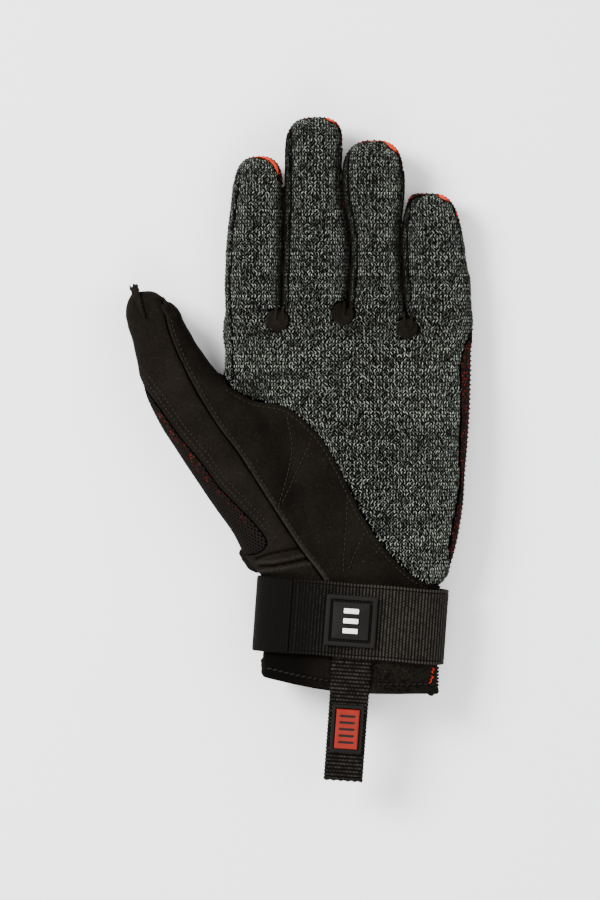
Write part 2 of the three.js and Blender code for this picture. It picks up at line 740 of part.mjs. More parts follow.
function tabInsert() {
  const width = TAB_BADGE_WIDTH - 2 * (TAB_BADGE_RIM + SEAM_GAP);
  const length = TAB_BADGE_LENGTH - 2 * (TAB_BADGE_RIM + SEAM_GAP);
  let insert = solidFrom(roundedPlate(width, length, TAB_BADGE_RIM / 2, TAB_INSERT_RELIEF));
  const pitch = length / (TAB_INSERT_GROOVES + 1);
  const size = new THREE.Vector3(width - 2 * TAB_INSERT_MARGIN, TAB_GROOVE_WIDTH, 2 * TAB_GROOVE_DEPTH);
  for (let groove = 0; groove < TAB_INSERT_GROOVES; groove += 1) {
    const v = (groove - (TAB_INSERT_GROOVES - 1) / 2) * pitch;
    insert = insert.subtract(block(new THREE.Vector3(0, v, TAB_INSERT_RELIEF), size));
  }
  return insert;
}

// Places a plate, built flat at the origin, on the drooping end of the tab
function onTab(mesh, liftOff) {
  const holder = new THREE.Group();
  holder.rotation.x = TAB_DROOP;
  holder.position.set(
    TAB_SHIFT,
    TAB_BEND_V - TAB_BADGE_PAST_BEND * Math.cos(TAB_DROOP),
    WRIST_TOP + SEAM_GAP + TAB_THICKNESS / Math.cos(TAB_DROOP) - TAB_BADGE_PAST_BEND * Math.sin(TAB_DROOP),
  );
  mesh.position.z = liftOff;
  holder.add(mesh);
  return onStrap(holder);
}

// Assembly

function named(name, solid, material) {
  const mesh = new THREE.Mesh(geometryFrom(solid), material);
  mesh.name = name;
  return mesh;
}

const glove = new THREE.Group();
const half = SEAM_GAP / 2;
const outside = gloveBody(0, 0);
const inside = gloveBody(WALL, WALL);
const pastHem = CUFF_HEM.map(({ across, rise }) => new THREE.Vector2(
  WRIST_SHIFT + (across * WRIST_WIDTH) / 2, CUFF_END_Y + rise * STRAP_WIDTH,
));
const belowHem = prism([
  ...pastHem,
  new THREE.Vector2(FAR / 2, CUFF_END_Y - FAR / 2),
  new THREE.Vector2(-FAR / 2, CUFF_END_Y - FAR / 2),
]);
const wall = outside.subtract(inside).subtract(belowHem);

const handFront = (shift) => frontOf(HAND_SEAM_HEIGHTS, shift, true);
const thumbFront = (shift) => frontOf(THUMB_SEAM_HEIGHTS, shift, false);

const frontPanels = [
  { name: "palm_knit", outline: knitOutline, front: handFront, material: KNIT },
  { name: "thenar_panel", outline: thenarOutline, front: thumbFront, material: SUEDE },
  { name: "thumb_outer_panel", outline: thumbOuterOutline, front: thumbFront, material: SUEDE },
  { name: "thumb_mesh_gusset", outline: meshGussetOutline, front: thumbFront, material: MESH_CLOTH },
  { name: "cuff_front", outline: cuffOutline, front: thumbFront, material: SUEDE },
];
const strips = [0, 1, 2].map((number) => ({
  name: `finger_side_strip_${FINGERS[number].name}_${FINGERS[number + 1].name}`,
  cutter: (slack) => sideStrip(FINGERS[number], FINGERS[number + 1], slack),
}));
const patches = FINGERS.map((finger) => ({
  name: `fingertip_patch_${finger.name}`,
  cutter: (slack) => tipPatch(finger, slack),
}));
const pads = WEB_PADS.map((pad) => ({
  name: `web_pad_${pad.name}`,
  cutter: (slack) => webPad(pad, slack),
}));

let back = wall;
const stripSpaces = joined(strips.map(({ cutter }) => cutter(-half)));
const padSpaces = joined(pads.map(({ cutter }) => cutter(-half)));
const patchSpaces = joined(patches.map(({ cutter }) => cutter(-half)));

for (const { name, outline, front, material } of frontPanels) {
  const cut = prism(outline(half)).intersect(front(half));
  let panel = wall.intersect(cut);
  if (name === "palm_knit") {
    panel = panel.subtract(stripSpaces).subtract(padSpaces);
  }
  glove.add(named(name, mainBody(panel), material));
  back = back.subtract(prism(outline(-half)).intersect(front(-half)));
}
for (const { name, cutter } of pads) {
  glove.add(named(name, mainBody(wall.intersect(cutter(half))), SUEDE));
}
for (const { name, cutter } of strips) {
  glove.add(named(name, mainBody(wall.intersect(cutter(half))), SUEDE));
}
for (const { name, cutter } of patches) {
  const patch = wall.intersect(cutter(half)).subtract(stripSpaces);
  glove.add(named(name, mainBody(patch), ORANGE_CLOTH));
}
back = back.subtract(stripSpaces).subtract(patchSpaces);
glove.add(named("back_panel", mainBody(back), MESH_CLOTH));

// Folded end of the thumb seam, which stands on the tip
const thumbTip = THUMB_SECTIONS[THUMB_SECTIONS.length - 1];
const foldBox = new THREE.BoxGeometry(TIP_FOLD_WIDTH, TIP_FOLD_LENGTH, FAR / 2);
foldBox.translate(0, 2 * TIP_FOLD_THICKNESS - TIP_FOLD_LENGTH / 2, FAR / 4 + THUMB_LIFT + THUMB_DEPTH / 2);
foldBox.rotateZ(THREE.MathUtils.degToRad(TIP_FOLD_TURN_DEG));
foldBox.translate(-thumbTip.outer_x * THUMB_SPREAD, STRAP_TOP_Y + thumbTip.outer_y * THUMB_LENGTH, 0);
const tipFold = thumbTube(-SEAM_GAP - TIP_FOLD_THICKNESS).intersect(solidFrom(foldBox));
glove.add(named("thumb_tip_fold", mainBody(tipFold.subtract(thumbTube(-SEAM_GAP))), SUEDE));

// Strap: woven band on the little finger side, elastic on the thumb side
const strap = strapRing();
const elasticSide = (slack) => strapFrameBox(-ELASTIC_REACH - FAR / 2 - slack, 0, FAR, FAR);
glove.add(named("wrist_strap", mainBody(strap.subtract(elasticSide(-half))), WEBBING));
glove.add(named("strap_elastic", mainBody(strap.intersect(elasticSide(half))), WEBBING));

// Size badge, with three plain bars where the size letter was
const strapTop = WRIST_TOP + STRAP_CLEARANCE + STRAP_THICKNESS;
const badge = named("size_badge", sizeBadge(), RUBBER);
badge.position.set(0, 0, strapTop + SEAM_GAP);
glove.add(onStrap(badge));
const markTop = strapTop + SEAM_GAP + BADGE_BASE + BADGE_RELIEF;
const barPitch = MARK_HEIGHT / (MARK_BARS - 0.5);
for (let number = 0; number < MARK_BARS; number += 1) {
  const plate = roundedPlate(MARK_WIDTH, barPitch / 2, barPitch / 8, MARK_RELIEF);
  const bar = named(`size_bar_${number + 1}`, solidFrom(plate), WHITE_RUBBER);
  bar.position.set(0, (number - (MARK_BARS - 1) / 2) * barPitch, markTop + SEAM_GAP);
  glove.add(onStrap(bar));
}

// Pull tab with its framed insert
glove.add(onStrap(named("pull_tab", tabRibbon(), WEBBING)));
const tabFrame = raisedFrame(
  TAB_BADGE_WIDTH, TAB_BADGE_LENGTH, TAB_BADGE_RIM / 2, TAB_BADGE_RIM, TAB_BADGE_BASE, BADGE_RELIEF,
);
glove.add(onTab(named("tab_badge", tabFrame, RUBBER), SEAM_GAP));
glove.add(onTab(named("tab_badge_insert", tabInsert(), ORANGE_RUBBER), 2 * SEAM_GAP + TAB_BADGE_BASE));

export default glove;
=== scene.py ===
"""Water ski glove for the left hand, lying on its back with the palm up.

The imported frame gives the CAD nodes. Every cloth, suede, webbing and rubber piece is built here in
finer form where its node is, and replaces that node. Lengths in this file are millimetres in the
frame of the part, and become metres only where a Blender mesh is made.
"""
import logging
import math
import sys
from dataclasses import dataclass
from enum import Enum
from functools import reduce
from typing import Callable, Optional, Sequence

import bpy
import numpy as np
import openvdb as vdb
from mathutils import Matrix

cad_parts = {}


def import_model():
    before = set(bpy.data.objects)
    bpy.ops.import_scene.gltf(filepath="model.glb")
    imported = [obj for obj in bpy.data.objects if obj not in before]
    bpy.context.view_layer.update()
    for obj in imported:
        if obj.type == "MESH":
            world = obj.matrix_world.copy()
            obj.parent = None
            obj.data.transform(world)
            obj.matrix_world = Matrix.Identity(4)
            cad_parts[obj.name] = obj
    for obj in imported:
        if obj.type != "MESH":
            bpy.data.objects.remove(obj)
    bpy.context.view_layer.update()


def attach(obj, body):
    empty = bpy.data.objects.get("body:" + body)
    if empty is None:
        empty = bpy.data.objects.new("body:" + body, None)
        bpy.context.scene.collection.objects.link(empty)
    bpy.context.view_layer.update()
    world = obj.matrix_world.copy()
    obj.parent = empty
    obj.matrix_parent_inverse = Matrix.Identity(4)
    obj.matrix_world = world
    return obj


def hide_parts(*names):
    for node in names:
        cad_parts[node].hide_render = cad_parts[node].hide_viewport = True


LOG = logging.getLogger("glove")
MM = 0.001
TAU = 2 * math.pi
KNIT_COLUMN = 1.5
KNIT_ROW = 1.52
MESH_PITCH = 2.1
MESH_ROW = 0.62
HOLE_ACROSS = 2.6
HOLE_ALONG = 1.1
SIGHT_MIDDLE = (345, 450)
SIGHT_SCALE = 0.43
GLOVE_BOX = (-98.0, 62.0, -116.0, 148.0)


# Sizes


@dataclass(frozen=True)
class GloveSizes:
    """Driving sizes of the glove, the same as those of the part's source."""

    hand_width: float = 107.0
    palm_depth: float = 31.0
    crotch_y: float = 58.0
    strap_below: float = 73.0
    wall: float = 1.8
    middle_length: float = 85.2
    finger_depth: float = 18.5
    finger_bed: float = 0.6
    finger_curl: float = 6.0
    finger_gap: float = 1.2
    tip_dome: float = 13.0
    strip_depth: float = 6.0
    patch_length: float = 13.0
    thumb_spread: float = 94.3
    thumb_length: float = 125.0
    thumb_depth: float = 22.0
    thumb_lift: float = 5.0
    wrist_width: float = 75.0
    wrist_depth: float = 25.0
    wrist_shift: float = 2.3
    cuff_below: float = 31.5
    strap_width: float = 32.2
    strap_thickness: float = 1.8
    strap_clearance: float = 2.0
    strap_tilt_deg: float = 4.1
    section_power: float = 2.4
    dome_power: float = 2.6

    @property
    def half_hand(self) -> float:
        """Half the width of the hand."""
        return self.hand_width / 2

    @property
    def strap_y(self) -> float:
        """Y of the middle of the strap."""
        return -self.strap_below

    @property
    def strap_top_y(self) -> float:
        """Y of the upper edge of the strap, at its middle."""
        return self.strap_y + self.strap_width / 2

    @property
    def tilt(self) -> float:
        """Tilt of the strap in radians."""
        return math.radians(self.strap_tilt_deg)

    @property
    def slant(self) -> float:
        """How far each side of the wrist is shifted along Y by the tilt."""
        return self.wrist_width / 2 * math.tan(self.tilt)

    @property
    def wrist_bed(self) -> float:
        """Lowest height of the wrist inside the strap."""
        return self.strap_clearance + self.strap_thickness

    @property
    def wrist_top(self) -> float:
        """Greatest height of the wrist inside the strap."""
        return self.wrist_bed + self.wrist_depth

    @property
    def strap_face(self) -> float:
        """Height of the outer face of the strap."""
        return self.wrist_top + self.strap_clearance + self.strap_thickness

    def hand_y(self, along: np.ndarray) -> np.ndarray:
        """Y of a share of the way to the finger crotches, or below the origin to the strap."""
        along = np.asarray(along, float)
        return along * np.where(along > 0, self.crotch_y, self.strap_below)


SIZES = GloveSizes()


class Table:
    """A short table with named columns, read on a smooth curve through its rows."""

    def __init__(self, columns: str, rows: Sequence[Sequence[float]]) -> None:
        """Keeps the rows.

        Args:
            columns: names of the columns, of which the first is the place.
            rows: one tuple for each row.
        """
        self.names = columns.split()
        self.rows = np.array(rows, float)

    def column(self, name: str) -> np.ndarray:
        """All values of one column."""
        return self.rows[:, self.names.index(name)]

    def read(self, name: str, place: np.ndarray) -> np.ndarray:
        """Values of a column at some places.

        Args:
            name: the column.
            place: where to read, in units of the first column.

        Returns:
            One value for each place.
        """
        x, y = self.rows[:, 0], self.column(name)
        place = np.clip(np.asarray(place, float), x[0], x[-1])
        row = np.clip(np.searchsorted(x, place, side="right") - 1, 0, len(x) - 2)
        before, after = np.maximum(np.arange(len(x)) - 1, 0), np.minimum(np.arange(len(x)) + 1, len(x) - 1)
        slope = (y[after] - y[before]) / (x[after] - x[before])
        span = x[row + 1] - x[row]
        share = (place - x[row]) / span
        rise = share * share * (3 - 2 * share)
        start = y[row] + slope[row] * share * span
        end = y[row + 1] - slope[row + 1] * (1 - share) * span
        return start * (1 - rise) + end * rise


PALM_SECTIONS = Table("along left right bottom top", [
    (-0.69, -0.735, 0.83, 0.03, 0.97),
    (-0.42, -0.765, 0.925, -0.02, 1.0),
    (-0.14, -0.8, 0.962, -0.02, 0.99),
    (0.17, -0.88, 0.992, -0.02, 0.96),
    (0.48, -0.944, 1.006, -0.02, 0.89),
    (0.74, -0.964, 1.012, 0.0, 0.79),
    (0.9, -0.966, 1.014, 0.0, 0.685),
    (0.98, -0.94, 1.0, 0.05, 0.6),
    (1.035, -0.86, 0.94, 0.14, 0.5),
])
FINGER_EDGES = Table("reach outer index middle ring little", [
    (-0.17, -0.955, -0.512, 0.02, 0.497, 1.0),
    (0.08, -0.972, -0.511, 0.024, 0.476, 1.026),
    (0.26, -0.97, -0.502, 0.044, 0.455, 0.99),
    (0.44, -0.95, -0.494, 0.03, 0.452, 0.946),
    (0.61, -0.918, -0.49, -0.02, 0.484, 0.9),
    (0.79, -0.89, -0.488, -0.02, 0.474, 0.9),
    (1.0, -0.88, -0.484, 0.02, 0.46, 0.9),
])
THUMB_SECTIONS = Table("row outer_x outer_y inner_x inner_y lift depth", [
    (0, 0.38, 0.045, 0.1, 0.045, 0.85, 1.04),
    (1, 0.45, 0.085, 0.12, 0.1, 0.2, 1.36),
    (2, 0.507, 0.165, 0.15, 0.19, 0.0, 1.5),
    (3, 0.589, 0.253, 0.19, 0.3, -0.1, 1.61),
    (4, 0.676, 0.35, 0.24, 0.415, -0.1, 1.64),
    (5, 0.774, 0.462, 0.3, 0.52, 0.0, 1.6),
    (6, 0.864, 0.574, 0.4, 0.605, 0.2, 1.5),
    (7, 0.92, 0.678, 0.54, 0.695, 0.5, 1.34),
    (8, 0.945, 0.75, 0.632, 0.772, 0.7, 1.2),
    (9, 0.97, 0.84, 0.703, 0.855, 0.9, 1.09),
    (10, 0.989, 0.886, 0.757, 0.925, 1.0, 1.02),
    (11, 1.0, 0.93, 0.808, 0.962, 1.1, 0.95),
    (12, 0.982, 0.978, 0.85, 0.992, 1.5, 0.76),
    (13, 0.955, 1.0, 0.89, 1.003, 2.1, 0.46),
])
HAND_SEAM_HEIGHTS = Table("along height", [
    (-2, 0.53), (-0.6, 0.5), (0, 0.475), (0.5, 0.44), (0.75, 0.39), (1, 0.33),
])
THUMB_SEAM_HEIGHTS = Table("along height", [
    (-2, 0.53), (-0.6, 0.5), (0, 0.5), (0.5, 0.51), (1.6, 0.56),
])
CUFF_HEM = Table("across rise", [
    (-1.3, 0.27), (-1.0, 0.215), (-0.54, 0.1), (-0.2, 0.04), (0.3, 0.0), (0.85, -0.005), (1.3, -0.04),
])


@dataclass(frozen=True)
class Finger:
    """One finger: its name, its two edge columns and its length from the crotch line.

    The shoulder is the power on the swell of the left half of its tip: below 1 it is squarer.
    """

    name: str
    left: str
    right: str
    length: float
    shoulder: float = 1.0

    @property
    def tip_y(self) -> float:
        """Y of its tip."""
        return SIZES.crotch_y + self.length


FINGERS = (
    Finger("index", "outer", "index", 68.4),
    Finger("middle", "index", "middle", 85.2),
    Finger("ring", "middle", "ring", 75.3),
    Finger("little", "ring", "little", 52.5, 0.3),
)


# Seams seen from above


class Seam:
    """A seam line in plan, given as shares of half the hand and of the way to the crotches."""

    def __init__(self, rows: Sequence[Sequence[float]], per_span: int = 6) -> None:
        """Makes a smooth line through the rows.

        Args:
            rows: pairs of across and along.
            per_span: how many points are drawn for each span.
        """
        pairs = np.array(rows, float)
        points = np.column_stack([pairs[:, 0] * SIZES.half_hand, SIZES.hand_y(pairs[:, 1])])
        self.points = smooth_line(points, per_span)

    def reversed(self) -> np.ndarray:
        """The points from the last to the first."""
        return self.points[::-1]


def smooth_line(points: np.ndarray, per_span: int) -> np.ndarray:
    """A centripetal curve through plan points.

    Args:
        points: the points it passes.
        per_span: points drawn between two of them.

    Returns:
        The drawn points.
    """
    padded = np.vstack([2 * points[0] - points[1], points, 2 * points[-1] - points[-2]])
    out = []
    for a, b, c, d in zip(padded[:-3], padded[1:-2], padded[2:-1], padded[3:]):
        t = np.cumsum([0] + [max(np.linalg.norm(q - p), 1e-6) ** 0.5 for p, q in ((a, b), (b, c), (c, d))])
        s = np.linspace(t[1], t[2], per_span, endpoint=False)[:, None]
        ab = (t[1] - s) / (t[1] - t[0]) * a + (s - t[0]) / (t[1] - t[0]) * b
        bc = (t[2] - s) / (t[2] - t[1]) * b + (s - t[1]) / (t[2] - t[1]) * c
        cd = (t[3] - s) / (t[3] - t[2]) * c + (s - t[2]) / (t[3] - t[2]) * d
        left = (t[2] - s) / (t[2] - t[0]) * ab + (s - t[0]) / (t[2] - t[0]) * bc
        right = (t[3] - s) / (t[3] - t[1]) * bc + (s - t[1]) / (t[3] - t[1]) * cd
        out.append((t[2] - s) / (t[2] - t[1]) * left + (s - t[1]) / (t[2] - t[1]) * right)
    return np.vstack(out + [points[-1]])


PALM_SEAM = Seam([
    (-0.94, 0.474), (-0.74, 0.37), (-0.475, 0.32), (-0.24, 0.14), (-0.13, 0.006),
    (0.04, -0.235), (0.13, -0.372), (0.36, -0.612), (0.62, -0.771), (0.88, -0.81),
])
LITTLE_SIDE_SEAM = Seam([
    (0.88, -0.81), (0.838, -0.6), (0.864, -0.44), (0.922, -0.2), (0.916, -0.04), (0.93, 0.22), (0.94, 0.7),
    (1.06, 0.95),
])
THUMB_SEAM = Seam([
    (-1.5, 1.25), (-1.463, 1.096), (-1.398, 0.845), (-1.23, 0.503), (-1.013, 0.17),
    (-0.86, -0.012), (-0.66, -0.241), (-0.353, -0.584), (-0.185, -0.748), (-0.1, -0.86),
])
MESH_BORDER = Seam([
    (-1.75, 0.62), (-1.62, 0.475), (-1.457, 0.27), (-1.33, 0.105), (-1.153, -0.071), (-1.029, -0.2),
    (-0.86, -0.33), (-0.675, -0.477), (-0.625, -0.55), (-0.7, -0.605), (-1.2, -0.6),
])
CLEFT = Seam([(-1.4, 3.5), (-1.3, 1.35), (-1.08, 0.86), (-0.98, 0.56)], 1)
FAR = 4 * SIZES.hand_width


# Distance fields


@dataclass
class Space:
    """A regular grid of points, on which forms are fields that are negative inside."""

    low: tuple[float, float, float]
    high: tuple[float, float, float]
    pitch: float

    def __post_init__(self) -> None:
        """Works out the axes of the grid."""
        self.axes = [np.arange(a, b + self.pitch, self.pitch) for a, b in zip(self.low, self.high)]
        self.shape = tuple(len(axis) for axis in self.axes)
        self.x = self.axes[0][:, None, None]
        self.y = self.axes[1][None, :, None]
        self.z = self.axes[2][None, None, :]
        self.plan = np.stack(np.meshgrid(self.axes[0], self.axes[1], indexing="ij"), axis=-1)

    def from_rings(self, rings: np.ndarray, band: float) -> np.ndarray:
        """Field of a closed loft.

        Args:
            rings: points of the rings, ring by ring and side by side.
            band: distance up to which the field is exact.

        Returns:
            Distance to the loft at each point of the grid.
        """
        count, sides = rings.shape[:2]
        points = np.vstack([rings.reshape(-1, 3), rings[0].mean(axis=0), rings[-1].mean(axis=0)])
        side = np.arange(sides)
        after = (side + 1) % sides
        quads = [
            np.column_stack([ring * sides + side, (ring + 1) * sides + side,
                             (ring + 1) * sides + after, ring * sides + after])
            for ring in range(count - 1)
        ]
        first, last = count * sides, count * sides + 1
        end = (count - 1) * sides
        caps = np.vstack([
            np.column_stack([np.full(sides, first), side, after]),
            np.column_stack([np.full(sides, last), end + after, end + side]),
        ])
        local = (points - np.array(self.low)) / self.pitch
        grid = vdb.FloatGrid.createLevelSetFromPolygons(
            local.astype(np.float32), caps.astype(np.uint32), np.vstack(quads).astype(np.uint32),
            vdb.createLinearTransform(1.0), halfWidth=band / self.pitch,
        )
        out = np.zeros(self.shape, np.float32)
        grid.copyToArray(out)
        return out * self.pitch

    def mesh(self, values: np.ndarray) -> tuple[np.ndarray, np.ndarray]:
        """Surface of a field, with its points moved exactly onto it.

        Args:
            values: the field on the grid.

        Returns:
            Points and quads.
        """
        grid = vdb.FloatGrid(10.0)
        band = 3 * self.pitch
        grid.copyFromArray(np.ascontiguousarray(np.clip(values, -band, band), dtype=np.float32))
        points, quads = grid.convertToQuads(0.0)
        points = points.astype(float)
        slopes = np.gradient(values, self.pitch)
        for _ in range(2):
            value = sample(values, points)
            normal = np.column_stack([sample(slope, points) for slope in slopes])
            square = np.maximum((normal ** 2).sum(axis=1), 0.25)
            step = (value / square)[:, None] * normal / self.pitch
            points -= np.clip(step, -0.5, 0.5)
        return points * self.pitch + np.array(self.low), quads[:, ::-1].astype(int)


def sample(values: np.ndarray, places: np.ndarray) -> np.ndarray:
    """Values of a grid between its points.

    Args:
        values: the grid, in two or three dimensions.
        places: where to read, in grid steps.

    Returns:
        One value for each place.
    """
    top = np.array(values.shape) - 1.001
    places = np.clip(places, 0, top)
    base = places.astype(int)
    share = places - base
    total = np.zeros(len(places))
    for corner in range(2 ** values.ndim):
        bits = np.array([(corner >> axis) & 1 for axis in range(values.ndim)])
        weight = np.where(bits, share, 1 - share).prod(axis=1)
        total += weight * values[tuple((base + bits).T)]
    return total


def smooth_union(a: np.ndarray, b: np.ndarray, blend: float) -> np.ndarray:
    """Union of two fields with a fillet of about blend."""
    share = np.clip(0.5 + 0.5 * (b - a) / blend, 0, 1)
    return b * (1 - share) + a * share - blend * share * (1 - share)


def smooth_cut(a: np.ndarray, b: np.ndarray, blend: float) -> np.ndarray:
    """Intersection of two fields with its edge rounded by about blend."""
    return -smooth_union(-a, -b, blend)


def polygon_field(plan: np.ndarray, outline: np.ndarray) -> np.ndarray:
    """Signed distance in plan to a closed outline.

    Args:
        plan: points in plan, in any arrangement.
        outline: corners of the outline.

    Returns:
        Distance for each point, below zero inside.
    """
    distance = line_distance(plan, np.vstack([outline, outline[:1]]))
    inside = np.zeros(plan.shape[:-1], bool)
    x, y = plan[..., 0], plan[..., 1]
    for (ax, ay), (bx, by) in zip(outline, np.roll(outline, -1, axis=0)):
        if ay == by:
            continue
        crosses = (ay > y) != (by > y)
        inside ^= crosses & (x < (bx - ax) * (y - ay) / (by - ay) + ax)
    return np.where(inside, -distance, distance)


def line_distance(plan: np.ndarray, line: np.ndarray) -> np.ndarray:
    """Distance in plan to an open line of points."""
    best = np.full(plan.shape[:-1], 1e9)
    for a, b in zip(line[:-1], line[1:]):
        along = b - a
        length = max(float(along @ along), 1e-9)
        share = np.clip(((plan - a) @ along) / length, 0, 1)
        gap = plan - a - share[..., None] * along
        best = np.minimum(best, (gap ** 2).sum(axis=-1))
    return np.sqrt(best)


# The form of the glove


def softened(value: np.ndarray) -> np.ndarray:
    """A cosine or sine bent towards a softened rectangle."""
    return np.sign(value) * np.abs(value) ** (2 / SIZES.section_power)


def ring(outer: Sequence[float], inner: Sequence[float], bottom: float, top: float, sides: int) -> np.ndarray:
    """One section of the glove.

    Args:
        outer: plan point of one edge.
        inner: plan point of the other edge.
        bottom: lowest height.
        top: greatest height.
        sides: points round the section.

    Returns:
        The points of the section.
    """
    outer, inner = np.array(outer, float), np.array(inner, float)
    angle = TAU * np.arange(sides) / sides
    across, up = softened(np.cos(angle)), softened(np.sin(angle))
    plan = (outer + inner) / 2 + (inner - outer) / 2 * across[:, None]
    return np.column_stack([plan, (bottom + top) / 2 + (top - bottom) / 2 * up])


def edge_x(column: str, y: np.ndarray) -> np.ndarray:
    """X of a finger edge at a height Y along the glove."""
    return FINGER_EDGES.read(column, (np.asarray(y) - SIZES.crotch_y) / SIZES.middle_length) * SIZES.half_hand


def finger_number(x: np.ndarray, y: np.ndarray) -> np.ndarray:
    """Which finger each plan point belongs to, from 0 for the index finger."""
    return sum((x > edge_x(finger.right, y)).astype(int) for finger in FINGERS[:-1])


def finger_height(y: np.ndarray) -> np.ndarray:
    """Height of the middle of a finger, which curls up to its tip."""
    reach = np.maximum((np.asarray(y) - SIZES.crotch_y) / SIZES.middle_length, 0)
    return SIZES.finger_bed + SIZES.finger_depth / 2 + SIZES.finger_curl * reach ** 2


def tip_swell(finger: Finger, y: np.ndarray) -> np.ndarray:
    """Share of its full section that a finger has at Y."""
    start = finger.tip_y - SIZES.tip_dome
    share = np.clip((np.asarray(y) - start) / SIZES.tip_dome, 0, 0.998)
    return (1 - share ** SIZES.dome_power) ** (1 / SIZES.dome_power)


class GloveForm:
    """The outer form of the whole glove as one field."""

    sides: int = 72

    def __init__(self, space: Space) -> None:
        """Builds the field from the palm, the thumb and the four fingers.

        Args:
            space: the grid to build on.
        """
        self.space = space
        band = 7.0
        palm = space.from_rings(self.palm_rings(), band)
        thumb = space.from_rings(self.thumb_rings(), band)
        body = smooth_union(palm, thumb, 5.0)
        whole = body
        for finger in FINGERS:
            tube = space.from_rings(self.finger_rings(finger), band)
            whole = np.minimum(whole, smooth_union(body, tube, 4.0))
        self.field = smooth_cut(whole, -space.z, 1.2)
        self.heights = self.top_heights(self.field)
        self.slopes = [slope.astype(np.float32) for slope in np.gradient(self.field, space.pitch)]

    def palm_rings(self) -> np.ndarray:
        """Sections from the cuff to the knuckles."""
        left = SIZES.wrist_shift - SIZES.wrist_width / 2
        right = SIZES.wrist_shift + SIZES.wrist_width / 2
        cuff_end = SIZES.strap_y - SIZES.cuff_below
        rings = []
        for y in (cuff_end - SIZES.strap_width / 2, SIZES.strap_top_y + 0.3):
            rings.append(ring((left, y + SIZES.slant), (right, y - SIZES.slant),
                              SIZES.wrist_bed, SIZES.wrist_top, self.sides))
        steps = 40
        places = np.linspace(PALM_SECTIONS.rows[0, 0], PALM_SECTIONS.rows[-1, 0], steps + 1)
        for number, along in enumerate(places):
            y = float(SIZES.hand_y(along))
            slant = SIZES.slant * max(1 - 4 * number / steps, 0)
            edges = [float(PALM_SECTIONS.read(key, along)) * SIZES.half_hand for key in ("left", "right")]
            flats = [float(PALM_SECTIONS.read(key, along)) * SIZES.palm_depth for key in ("bottom", "top")]
            rings.append(ring((edges[0], y + slant), (edges[1], y - slant), *flats, self.sides))
        return np.array(rings)

    def thumb_rings(self) -> np.ndarray:
        """Sections from the strap to the tip of the thumb."""
        rings = []
        for place in np.linspace(0, len(THUMB_SECTIONS.rows) - 1, 53):
            read = {key: float(THUMB_SECTIONS.read(key, place)) for key in THUMB_SECTIONS.names[1:]}
            outer = (-read["outer_x"] * SIZES.thumb_spread,
                     SIZES.strap_top_y + read["outer_y"] * SIZES.thumb_length)
            inner = (-read["inner_x"] * SIZES.thumb_spread,
                     SIZES.strap_top_y + read["inner_y"] * SIZES.thumb_length)
            bottom = read["lift"] * SIZES.thumb_lift
            rings.append(ring(outer, inner, bottom, bottom + read["depth"] * SIZES.thumb_depth, self.sides))
        return np.array(rings)

    def finger_rings(self, finger: Finger) -> np.ndarray:
        """Sections from inside the palm to the tip of a finger."""
        root = float(SIZES.hand_y(0.75))
        dome = finger.tip_y - SIZES.tip_dome
        rows = [(root, 0.8)] + [(y, 1.0) for y in np.linspace(root, dome, 20)[1:]]
        for share in (0.15, 0.3, 0.42, 0.55, 0.65, 0.75, 0.83, 0.89, 0.94, 0.97, 0.99, 0.998):
            y = dome + share * SIZES.tip_dome
            rows.append((y, float(tip_swell(finger, y))))
        rings = []
        for y, swell in rows:
            left = float(edge_x(finger.left, y)) + SIZES.finger_gap / 2
            right = float(edge_x(finger.right, y)) - SIZES.finger_gap / 2
            half = (right - left) / 2
            middle, height = (left + right) / 2, float(finger_height(y))
            depth = SIZES.finger_depth / 2 * swell
            rings.append(ring((middle - half * swell ** finger.shoulder, y), (middle + half * swell, y),
                              height - depth, height + depth, self.sides))
        return np.array(rings)

    def top_heights(self, values: np.ndarray) -> np.ndarray:
        """Height of the upper surface over each plan point of the grid, or zero beside the glove."""
        inside = values < 0
        count = values.shape[2]
        last = count - 1 - np.argmax(inside[:, :, ::-1], axis=2)
        last = np.clip(last, 0, count - 2)
        rows, columns = np.indices(last.shape)
        here, above = values[rows, columns, last], values[rows, columns, last + 1]
        share = np.clip(-here / np.maximum(above - here, 1e-6), 0, 1)
        heights = self.space.low[2] + (last + share) * self.space.pitch
        return np.where(inside.any(axis=2), heights, 0.0)

    def height_at(self, plan: np.ndarray) -> np.ndarray:
        """Height of the upper surface over some plan points."""
        return sample(self.heights, (plan - np.array(self.space.low[:2])) / self.space.pitch)

    def onto(self, points: np.ndarray, lift: np.ndarray) -> tuple[np.ndarray, np.ndarray]:
        """Moves points onto the surface.

        Args:
            points: points near the surface.
            lift: height above the surface for each point, or one for all.

        Returns:
            The moved points and the outward normals there.
        """
        for _ in range(3):
            places = (points - np.array(self.space.low)) / self.space.pitch
            slope = np.column_stack([sample(one, places) for one in self.slopes])
            square = np.maximum((slope ** 2).sum(axis=1), 0.2)
            step = ((sample(self.field, places) - lift) / square)[:, None] * slope
            points = points - np.clip(step, -1.0, 1.0)
        return points, slope / np.maximum(np.linalg.norm(slope, axis=1), 1e-6)[:, None]


# Blender meshes


